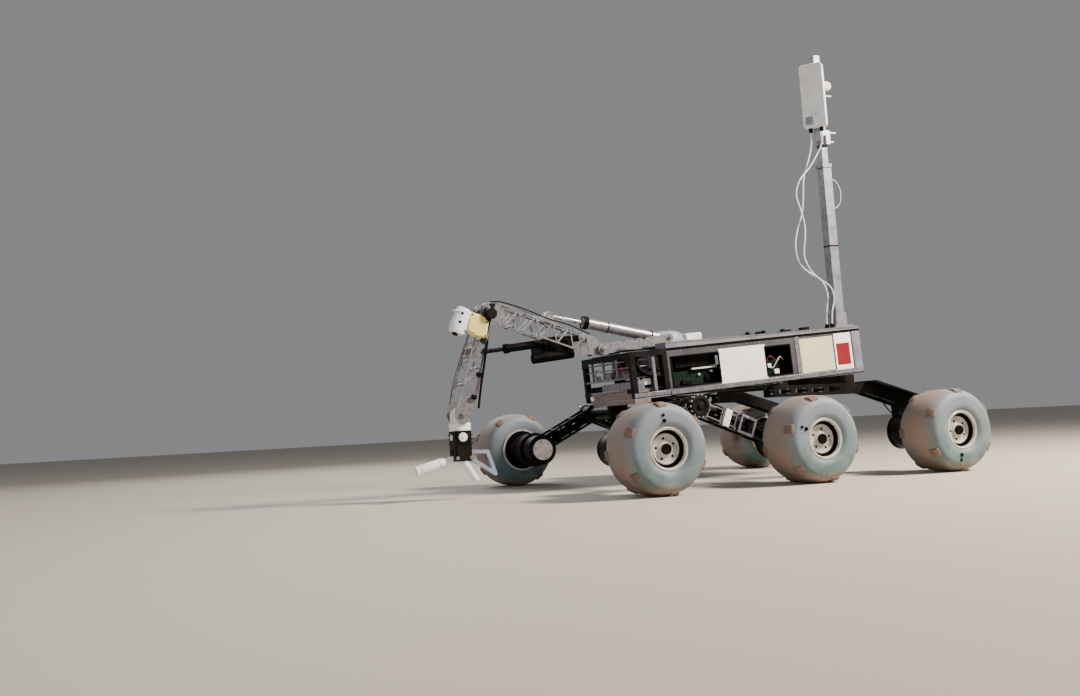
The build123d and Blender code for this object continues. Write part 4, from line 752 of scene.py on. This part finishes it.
def build_lid_items():
    """The dome, boxes, knobs and wires that lie on the lid."""
    a = np.linspace(0, np.pi / 2, 12)
    dome = frame_at(on_body(DOME_X, DOME_Y, lid_z(DOME_X) - 0.5), (1, 0, -0.05), (0.05, 0, 1))
    profile = [(0, 0), (DOME_R, 0), *zip(DOME_R * np.cos(a) ** 0.6, DOME_WALL + DOME_RISE * np.sin(a))]
    stretched = dome @ Matrix.Diagonal((DOME_STRETCH, 1, 1, 1))
    piece("lid_dome", turned(profile, stretched, 48), "blue_grey")
    case = ((CASE_X - 32, CASE_X + 46), (-176, -112), (lid_z(CASE_X) - 0.8, lid_z(CASE_X) + 44))
    piece("lid_white_case", boxes([case]), "white_plastic", bevel_mm=7.0)
    knobs = [disc(9, -0.5, 13, on_lid(x, 176), 2.5, 24) for x in LID_KNOBS_X]
    low_boxes = boxes([((x, x + 34), (120, 146), (lid_z(x) - 0.5, lid_z(x) + h)) for x, h in LID_BOXES])
    piece("lid_knobs", knobs + low_boxes, "black_plastic", bevel_mm=1.0)
    bundle = [(x, 108 + 16 * math.sin(x / 37), lid_z(x) + 3.6) for x in range(60, -340, -25)]
    second = [(x, 126 + 10 * math.cos(x / 29), lid_z(x) + 3.0) for x in range(40, -330, -25)]
    piece("lid_wires", strands([(3.2, bundle), (2.6, second)]), "black_rubber")


CROSS_RAILS_X, CROSS_RAIL_TOP, RAIL_END_Y = (-30.0, -330.0), 351.0, 404
# thin cables, as points for place
LEG_CABLE = ((-452, 440, 300), (-470, 446, 262), (-505, 448, 222), (-548, 446, 200), (-566, 440, 214),
             (-560, 436, 232))
FLOOR_CABLE = ((320, 196, 322), (240, 203, 318), (150, 204, 330), (60, 203, 345), (20, 198, 352))


def build_under():
    """Bolts on the cross rails, the thin cable at the near rear leg, and one under the floor's edge."""
    bolts = [disc(5.0, -1.0, 4.5, upright(place(x, s * RAIL_END_Y + dy, CROSS_RAIL_TOP)), 1.2, 12)
             for x in CROSS_RAILS_X for s in SIDES.values() for dy in (-20, 20)]
    piece("rail_bolts", bolts, "zinc")
    piece("rear_leg_cable", wire([place(*p) for p in LEG_CABLE], 2.5, 12), "black_rubber")
    piece("underside_wires", wire([place(*p) for p in FLOOR_CABLE], 3.0, 12), "black_rubber")


# Arm: nuts, collars, wires and the pieces at the elbow

TABLE_FOOT = (BODY_MID[0] + 540 * math.cos(BODY_PITCH) + 179 * math.sin(BODY_PITCH),
              BODY_MID[1] - 540 * math.sin(BODY_PITCH) + 179 * math.cos(BODY_PITCH))
SHOULDER, ELBOW, WRIST, LIFT_BASE, LIFT_ROD, TILT_BASE, TILT_ROD = (
    (TABLE_FOOT[0] + dx, TABLE_FOOT[1] + dz) for dx, dz in
    ((90, 17), (544, 173), (658, -203), (-200, 55), (290, 150), (170, 63), (575, 17)))
UPPER_FACE, FORE_FACE, TURRET_FACE = 35.1, 46.1, 52.1
# chord pins, as a share of the arm's length and the chord's side
UPPER_PINS = ((0.31, 1), (0.69, 1), (0.76, -1), (0.88, 1))
FORE_PINS = ((0.27, -1), (0.55, -1), (0.74, 1), (0.86, -1))
# rings on the actuators' tubes: where each starts, its width and its radius
LIFT_TUBE_R, LIFT_COLLARS = 21.0, ((337.5, 18.0, 25.0), (60.0, 5.0, 22.2), (250.0, 4.0, 22.2))
TILT_TUBE_R, TILT_COLLARS = 15.0, ((64.0, 10.0, 17.0), (150.0, 5.0, 16.6), (286.0, 10.0, 17.5))
# wires in an arm's frame, as points along it, across it, and to its left
UPPER_WIRES = (((40, 33, -20), (110, 47, -20), (200, 39, -20), (300, 49, -20), (400, 41, -20),
                (466, 23, -20)),
               ((60, 41, 26), (150, 48, 26), (230, 43, 26), (330, 47, 26), (430, 43, 26), (474, 29, 26)))
FORE_WIRES = (((60, -30, 30), (130, -36, 20), (220, -40, 24), (310, -42, 12), (372, -36, 14)),
              ((140, 34, -20), (220, 38, -26), (300, 42, -20), (366, 40, -10)))
# the conduit beside the forearm, as points for place
CONDUIT = ((956, 53, 560), (972, 53, 480), (990, 53, 394), (1003, 53, 318))


def arm_frame(a, b):
    """A frame at pin a: x toward pin b, y across and up, z to the right."""
    return frame_at(place(a[0], 0.0, a[1]), (b[0] - a[0], 0, b[1] - a[1]), (0, -1, 0))


UPPER, FORE = arm_frame(SHOULDER, ELBOW), arm_frame(ELBOW, WRIST)
LIFT, TILT = arm_frame(LIFT_BASE, LIFT_ROD), arm_frame(TILT_BASE, TILT_ROD)
UPPER_L, FORE_L = math.dist(SHOULDER, ELBOW), math.dist(ELBOW, WRIST)
LENGTHWISE = frame_at(Vector((0, 0, 0)), (0, 0, 1), (1, 0, 0))


def pin_heads(at, half_y, radius=11.0):
    """Washers and nuts on both ends of a pin."""
    shapes = []
    for s in (1, -1):
        seat = at @ frame_at(vector(0, 0, s * half_y), (1, 0, 0), (0, 0, s))
        shapes += [disc(radius, -0.4, 1.6, seat, 0.5, 24), disc(radius * 0.62, 1.2, 5.2, seat, 1.2, 6)]
    return shapes


def arm_wires(at, routes, radius):
    """Wires along an arm."""
    return [wire([at @ vector(x, across, -y) for x, across, y in points], radius) for points in routes]


def build_arm():
    """Nuts of the pins, rings of the two actuators, and the wires along the arm."""
    upper = pin_heads(UPPER, 35.2, 9.5)
    for share, side in UPPER_PINS:
        upper += pin_heads(UPPER @ shift(share * UPPER_L, side * 29), UPPER_FACE, 5.0)
    upper += pin_heads(TILT, UPPER_FACE, 9.0)
    piece("upper_arm_nuts", upper, "zinc", "upper_arm")
    fore = pin_heads(FORE, 51.1) + pin_heads(FORE @ shift(FORE_L), 51.1)
    for share, side in FORE_PINS:
        fore += pin_heads(FORE @ shift(share * FORE_L, side * (16 + 10 * share)), FORE_FACE, 5.0)
    piece("forearm_nuts", fore, "zinc", "forearm")
    turret = pin_heads(UPPER, TURRET_FACE, 10.5) + pin_heads(LIFT, TURRET_FACE, 8.5)
    piece("turret_nuts", turret, "zinc", "turret")
    collars = [collar(LIFT_TUBE_R, r, h, h + w, LIFT @ LENGTHWISE) for h, w, r in LIFT_COLLARS]
    piece("lift_collars", collars, "black_rubber", "lift_tube")
    sleeves = [collar(TILT_TUBE_R, r, h, h + w, TILT @ LENGTHWISE, 36) for h, w, r in TILT_COLLARS]
    tray = [block((60, 196), (-40, -13), (-9, 9), TILT), block((92, 150), (-24, 19), (-17, -13), TILT)]
    piece("tilt_sleeves", sleeves + tray, "black_rubber", "tilt_tube", 1.0)
    piece("upper_arm_wires", arm_wires(UPPER, UPPER_WIRES, 2.4), "black_rubber", "upper_arm")
    clips = [block((x, x + 14), (-30, -12), (-58, -46.2), FORE) for x in (150, 236, 318)]
    conduit = wire([place(*p) for p in CONDUIT], 4.2, 12, 10)
    piece("forearm_conduit", [conduit, *clips], "black_rubber", "forearm")
    piece("forearm_wires", arm_wires(FORE, FORE_WIRES, 2.0), "brown_wire", "forearm")


ELBOW_PLATE = -46.2    # the left face of the forearm's plate, along its frame's z
ELBOW_BOX_T, LEVER_T = 30.0, 8.0
ELBOW_BOX = [(38, 18), (52, -4), (112, -10), (118, 44), (98, 70), (36, 70)]
ELBOW_LEVER = [(-24, -20), (-18, -2), (128, 2), (132, -16)]
ELBOW_SCREWS = ((58, 4), (106, -3), (108, 42), (46, 62))
ELBOW_MOTOR = [(0, 0), (20, 0), (20, 30), (18.5, 31), (18.5, 34), (20, 35), (20, 46), (18, 48), (0, 48)]
CAMERA_MID, CAMERA_NARROW = (80, 98), 0.74
# plates that hold the camera: ranges along and across the forearm, and out from its plate
CAMERA_PLATES = (((66, 104), (66, 84), (4, 26)), ((44, 50), (72, 128), (-4, 36)),
                 ((118, 124), (74, 118), (-2, 32)))


def build_elbow():
    """The cream box over the forearm's plate, its motor, and the white camera ahead of it."""
    box_face = ELBOW_PLATE - ELBOW_BOX_T
    piece("elbow_cover", slab(ELBOW_BOX, box_face, ELBOW_PLATE, FORE), "cream_box", "forearm", 5.0,
          replaces=["elbow_box"])
    seat = FORE @ frame_at(vector(24, -2, ELBOW_PLATE), (1, 0, 0), (0, 0, -1))
    motor = [turned(ELBOW_MOTOR, seat, 40), block((-14, 14), (-24, -14), (0, 26), seat)]
    motor += [disc(3.0, 0, 2.0, FORE @ frame_at(vector(x, y, box_face), (1, 0, 0), (0, 0, -1)), 0.8, 12)
              for x, y in ELBOW_SCREWS]
    motor.append(slab(ELBOW_LEVER, ELBOW_PLATE - LEVER_T, ELBOW_PLATE, FORE))
    piece("elbow_motor", motor, "black_metal", "forearm")
    a = np.linspace(0, np.pi / 2, 8)
    camera = FORE @ frame_at(vector(*CAMERA_MID, ELBOW_PLATE - 15), (0, 1, 0), (1, 0.18, 0))
    shell = [(0, -50), *zip(18 + 12 * np.sin(a), -38 - 12 * np.cos(a)),
             *zip(20 + 10 * np.cos(a), 12 + 33 * np.sin(a)), (0, 45)]
    narrowed = camera @ Matrix.Diagonal((1, CAMERA_NARROW, 1, 1))
    piece("camera_shell", turned(shell, narrowed, 40), "white_plastic", "forearm", replaces=["arm_camera"])
    plates = [block(x, y, (ELBOW_PLATE - high, ELBOW_PLATE - low), FORE)
              for x, y, (low, high) in CAMERA_PLATES]
    piece("camera_plate", plates, "white_plastic", "forearm", 2.0)
    eyes = [disc(11, 0, 10, camera @ shift(-2, 0, 42), 2, 28)]
    eyes += [disc(5, -1, 2, camera @ frame_at(vector(x, -21.5, z), (1, 0, 0), (0, -1, 0)), 0.8, 20)
             for x, z in ((8, -26), (4, 6))]
    piece("camera_lens", eyes, "black_rubber", "forearm")


# Wrist and gripper

GRIP_TOP = WRIST[1] - 58.3
GRIP_LOW = GRIP_TOP - 107.0
PIVOT_Z, PIVOT_DX = GRIP_LOW + 12, 26
FRONT_PIVOT = (WRIST[0] + PIVOT_DX, PIVOT_Z)
FRONT_TIP = (WRIST[0] + 168, WRIST[1] - 194)
HORN_Z = GRIP_TOP - 22
WRIST_RING = [(30, -1.5), (38.2, -1.5), (39.2, 0), (39.2, 9), (37.5, 11), (37.5, 14), (39.2, 16), (39.2, 25),
              (38.2, 25.8), (30, 25.8), (30, -1.5)]
FINGER_R, FINGER_END_H = 19.2, 13.0


def side_heads(radius, low, high, dx, half_y, z, edge=1.0, steps=12):
    """Four screw or pin heads on both sides of the wrist or gripper, dx before and behind its middle."""
    return [disc(radius, low, high, side_on(place(WRIST[0] + x, s * half_y, z), s), edge, steps)
            for x in (-dx, dx) for s in (1, -1)]


def build_gripper():
    """The wrist's ring, the gripper's ribs, horns and screws, and the front finger's tube."""
    wrist = frame_at(place(WRIST[0], 0, WRIST[1] - 32), (1, 0, 0), (0, 0, -1))
    piece("wrist_ring", turned(WRIST_RING, wrist, 56), "white_plastic", "wrist")
    front = frame_at(place(WRIST[0] + 31, 0, HORN_Z), (0, 1, 0), (1, 0, 0))
    horn = side_on(place(WRIST[0] + 4, 38, HORN_Z))
    white = [disc(16, -0.5, 7, horn, 2), disc(5, 6, 11, horn, 1.5, 16), disc(11, -0.5, 4, front, 1.5, 28)]
    piece("gripper_horns", white, "white_plastic", "gripper")
    housing = upright(place(WRIST[0], 0, GRIP_LOW))
    ribs = [block((-33, 33), (-40, 40), (z, z + 4), housing) for z in (60, 76, 92)]
    ribs += side_heads(4, -0.5, 3, 24, 38, GRIP_LOW + 70)
    piece("gripper_ribs", ribs, "black_metal", "gripper", 1.0)
    piece("wrist_screws", side_heads(4, -0.4, 3, 14, 33, WRIST[1] - 18), "zinc", "wrist")
    along = Vector((FRONT_TIP[0] - FRONT_PIVOT[0], 0, FRONT_TIP[1] - FRONT_PIVOT[1])).normalized()
    seat = frame_at(place(FRONT_PIVOT[0], 0, FRONT_PIVOT[1]), (0, 1, 0), along)
    straight = math.dist(FRONT_PIVOT, FRONT_TIP) - 14
    a = np.linspace(0, np.pi / 2, 7)
    finger = [(0, 34), (11.5, 34), (14, 37), (14.4, 46), (15.6, 48), (17.6, 90), (FINGER_R, straight),
              *zip(FINGER_R * np.cos(a), straight + FINGER_END_H * np.sin(a))]
    band = [(14.4, 52), (17.2, 52), (17.6, 60), (14.4, 60), (14.4, 52)]
    piece("front_finger_tube", [turned(finger, seat, 40), turned(band, seat, 40)], "white_plastic",
          "front_finger")
    pins = side_heads(7, -0.4, 4, PIVOT_DX, 38, PIVOT_Z, 1.2, 16)
    piece("finger_pin_heads", pins, "zinc", "gripper")


# Mast and antenna

MAST_LEAN = math.radians(1.13)
MAST_X, MAST_Y, MAST_TOP = 60 - HALF_L, 150.0, 1696.0
MAST_FOOT = BODY @ vector(MAST_X, MAST_Y, lid_z(MAST_X))
MAST = frame_at(MAST_FOOT, (math.cos(MAST_LEAN), 0, -math.sin(MAST_LEAN)),
                (math.sin(MAST_LEAN), 0, math.cos(MAST_LEAN)))
MAST_L = (MAST_TOP * MM - MAST_FOOT.z) / MM
ANTENNA_Z = (1511 * MM - MAST_FOOT.z) / math.cos(MAST_LEAN) / MM
ANTENNA_BACK, ANTENNA_T, ANTENNA_HALF, ANTENNA_YAW = 72.0, 32.0, (46.0, 130.0), 40
ANTENNA = MAST @ turn(ANTENNA_YAW) @ shift(z=ANTENNA_Z)
UPPER_CLAMP, LOWER_CLAMP = 52.0, -168.0
CLAMP_RODS = ((17, 42), (-136, 48), (-174, 34))    # height from the antenna's middle, and length
MAST_TIES = ((330, 21.2), (740, 15.2))
# a loop of thin wire below the antenna, in the mast's frame
WIRE_LOOP = ((-14, 8, 605), (-44, 8, 603), (-66, 8, 565), (-62, 8, 517), (-40, 8, 493), (-14, 8, 485))


def rounded_outline(half_w, half_h, radius, steps=7):
    """A rectangle's outline with round corners."""
    a = np.linspace(0, np.pi / 2, steps)
    corner = radius * np.stack([np.cos(a), np.sin(a)], 1) + (half_w - radius, half_h - radius)
    signs = ((1, 1, 1), (-1, 1, -1), (-1, -1, 1), (1, -1, -1))
    return np.concatenate([(corner[::order] * (sx, sy)) for sx, sy, order in signs])


def build_antenna():
    """The antenna's case and label, in a frame with x to its left, y up and z the way it faces."""
    face = ANTENNA @ frame_at(Vector((0, 0, 0)), (0, 1, 0), (1, 0, 0))
    half_w, half_h = ANTENNA_HALF
    front = ANTENNA_BACK + ANTENNA_T
    shell = slab(rounded_outline(half_w, half_h, 12.0), ANTENNA_BACK + 4, front, face)
    back = slab(rounded_outline(half_w - 3, half_h - 3, 10.0), ANTENNA_BACK, ANTENNA_BACK + 5, face)
    piece("antenna_shell", [shell, back], "white_plastic", bevel_mm=3.0, replaces=["antenna"])
    label = block((10 - half_w, 40 - half_w), (-half_h + 14, -half_h + 46), (front - 0.1, front + 0.5), face)
    piece("antenna_blank_label", label, "grey_metal")


def backward(x, y, z):
    """A frame at a point of the antenna's frame with z away from the way it faces."""
    return ANTENNA @ frame_at(vector(x, y, z), (0, 1, 0), (-1, 0, 0))


def build_clamps():
    """Bolts, tie rods and knobs of the two clamps that hold the antenna."""
    steel = [disc(4.2, -0.5, 7, backward(-23, s * 15, height + dz), 1, 6)
             for height in (UPPER_CLAMP, LOWER_CLAMP) for dz in (-11.0, 11.0) for s in (1, -1)]
    steel.append(disc(21.5, -15, 15, ANTENNA @ side_on(vector(45, 0, UPPER_CLAMP)), 2.5, 36))
    steel += [disc(3.2, 0, reach - 16, backward(-16, dy, height - 6), 0.8, 12)
              for height, reach in ((UPPER_CLAMP, 46.0), (LOWER_CLAMP, 44.0)) for dy in (-15.0, 15.0)]
    piece("antenna_clamp_bolts", steel, "grey_metal")
    knob = MAST @ frame_at(vector(-42, 6, ANTENNA_Z + 62), (1, 0, 0), (0.35, 1, 0))
    yoke = MAST @ frame_at(vector(-10, 15, ANTENNA_Z + 62), (0, 0, 1), (-1, -0.3, 0))
    knobs = [disc(20, -9, 9, knob, 4), disc(8, -4, 20, yoke, 1.5, 20)]
    for dz, reach in CLAMP_RODS:
        seat = MAST @ frame_at(vector(-12, 17, ANTENNA_Z + dz), (0, 0, 1), (-1, 0, 0))
        knobs.append(disc(3.5, 0, reach, seat, 1, 12))
    knobs.append(block((-26, 20), (14.5, 24), (ANTENNA_Z - 184, ANTENNA_Z - 128), MAST))
    piece("antenna_clamp_knobs", knobs, "white_plastic")


def build_mast():
    """Cable ties, the cap and joint collar, the foot's bolts, and a loop of thin wire."""
    ties = [bar for z, w in MAST_TIES for bar in border((-w, w), (-w, w), 1.3, z, z + 5, MAST)]
    piece("mast_ties", ties, "black_rubber")
    cap = block((-15, 15), (-15, 15), (MAST_L - 6, MAST_L + 2), MAST)
    joint = border((-22.5, 22.5), (-22.5, 22.5), 2.4, 655, 671, MAST)
    piece("mast_cap", [cap, *joint], "grey_metal", bevel_mm=0.8)
    bolts = []
    for x in (MAST_X - 37, MAST_X + 37):
        for y in (MAST_Y - 33, MAST_Y + 33):
            seat = frame_at(on_body(x, y, lid_z(x) + 6), (1, 0, 0), (0.06, 0, 1))
            bolts.append(disc(5, -0.5, 5, seat, 1, 6))
    piece("mast_foot_bolts", bolts, "zinc")
    piece("mast_wire_loop", wire([MAST @ vector(*p) for p in WIRE_LOOP], 1.4), "white_wire")


# Antenna cables: the routes of the CAD model's cables, in metres

CABLE_D = 0.006
CABLE_ROUTES = {
    "antenna_cable_1": ((-0.4297, 0.1897, 1.3714), (-0.4308, 0.1897, 1.3164), (-0.400, 0.198, 1.245),
                        (-0.374, 0.190, 1.175), (-0.370, 0.189, 1.100), (-0.356, 0.193, 1.030),
                        (-0.330, 0.184, 0.962), (-0.312, 0.188, 0.893), (-0.334, 0.178, 0.828),
                        (-0.387, 0.182, 0.788), (-0.446, 0.173, 0.768), (-0.476, 0.172, 0.705),
                        (-0.458, 0.168, 0.643), (-0.458, 0.168, 0.582)),
    "antenna_cable_2": ((-0.4580, 0.2234, 1.3720), (-0.4591, 0.2234, 1.3170), (-0.428, 0.214, 1.262),
                        (-0.392, 0.212, 1.212), (-0.344, 0.208, 1.168), (-0.322, 0.200, 1.108),
                        (-0.336, 0.208, 1.047), (-0.360, 0.200, 0.988), (-0.352, 0.205, 0.925),
                        (-0.344, 0.196, 0.864), (-0.364, 0.200, 0.806), (-0.416, 0.192, 0.768),
                        (-0.470, 0.197, 0.740), (-0.492, 0.187, 0.686), (-0.466, 0.190, 0.634),
                        (-0.466, 0.190, 0.580)),
}


def build_cable(name, route):
    """A round cord along a smooth spline through the route's points."""
    data = bpy.data.curves.new(name + "_line", "CURVE")
    data.dimensions, data.bevel_depth, data.bevel_resolution = "3D", CABLE_D / 2, 3
    data.use_fill_caps = True
    spline = data.splines.new("NURBS")
    spline.points.add(len(route) - 1)
    points = [(MID_AXLE_X + x, y, z, 1.0) for x, y, z in route]
    spline.points.foreach_set("co", np.ravel(points))
    spline.order_u, spline.use_endpoint_u, spline.resolution_u = 3, True, 8
    data.materials.append(FINISH["white_wire"])
    cable = link(name + "_line", data)
    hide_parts(name)
    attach(cable, "chassis")


# Floor and lights

FLOOR_HALF = 30.0
LIT_POINT = (0.0, 0.0, 0.4)
# place, size, watts and colour of each lamp
LAMPS = {
    "key": ((-2.9, 2.6, 3.4), 1.1, 760, "#FFF4E6"),
    "fill": ((4.4, 2.6, 2.4), 3.4, 70, "#EAF2FF"),
    "back": ((0.4, -4.2, 3.2), 2.6, 110, "#FFFFFF"),
}
SKY_COLOUR, SKY_STRENGTH = "#EEF1F5", 0.28


def light_studio():
    """A key lamp over the rover's rear left, a fill from its front left, one on its right, a pale sky."""
    for name, (at, wide, watts, colour) in LAMPS.items():
        data = bpy.data.lights.new(name, "AREA")
        data.shape, data.size, data.energy = "DISK", wide, watts
        data.color = linear(colour)[:3]
        lamp = link(name, data)
        lamp.location = at
        lamp.rotation_euler = (Vector(LIT_POINT) - Vector(at)).to_track_quat("-Z", "Y").to_euler()
    world = bpy.data.worlds.new("studio")
    world.use_nodes = True
    sky = world.node_tree.nodes["Background"]
    sky.inputs["Color"].default_value = linear(SKY_COLOUR)
    sky.inputs["Strength"].default_value = SKY_STRENGTH
    bpy.context.scene.world = world


def lay_floor():
    """A plain pale floor of matt board."""
    corners = [(x * FLOOR_HALF, y * FLOOR_HALF, 0) for x, y in ((-1, -1), (1, -1), (1, 1), (-1, 1))]
    data = bpy.data.meshes.new("floor")
    data.from_pydata(corners, [], [(0, 1, 2, 3)])
    material, _, shader = new_material("matt_board")
    shader.inputs["Base Color"].default_value = linear("#B5ACA0")
    shader.inputs["Roughness"].default_value = 0.8
    data.materials.append(material)
    floor = link("floor", data)


# Finishes of the CAD nodes that differ from their slot's
OWN_FINISH = {"lid": "lid_sheet", "arm_bay": "bright_rail", "claw_finger": "blue_grey",
              "tilt_rod": "dark_rod", "motor_end_plates": "turned_cover", "tilt_tube": "black_rubber"}


def dress_nodes():
    """Each CAD node gets its slot's finish or its own."""
    for part in frame["record"]["subparts"]:
        materials = nodes[part["node"]].data.materials
        materials.clear()
        materials.append(FINISH[OWN_FINISH.get(part["node"], part["material_slot"])])


make_camera()
for cable_name, cable_route in CABLE_ROUTES.items():
    build_cable(cable_name, cable_route)
light_studio()
lay_floor()
dress_nodes()
for axle_name in AXLES:
    for side_name in SIDES:
        build_wheel(axle_name, side_name)
for build in (build_motors, build_bogies, build_sheets, build_side_trim, build_inside, build_nose_trim,
              build_lid_trim, build_lid_items, build_under, build_arm, build_elbow, build_gripper,
              build_antenna, build_clamps, build_mast):
    build()
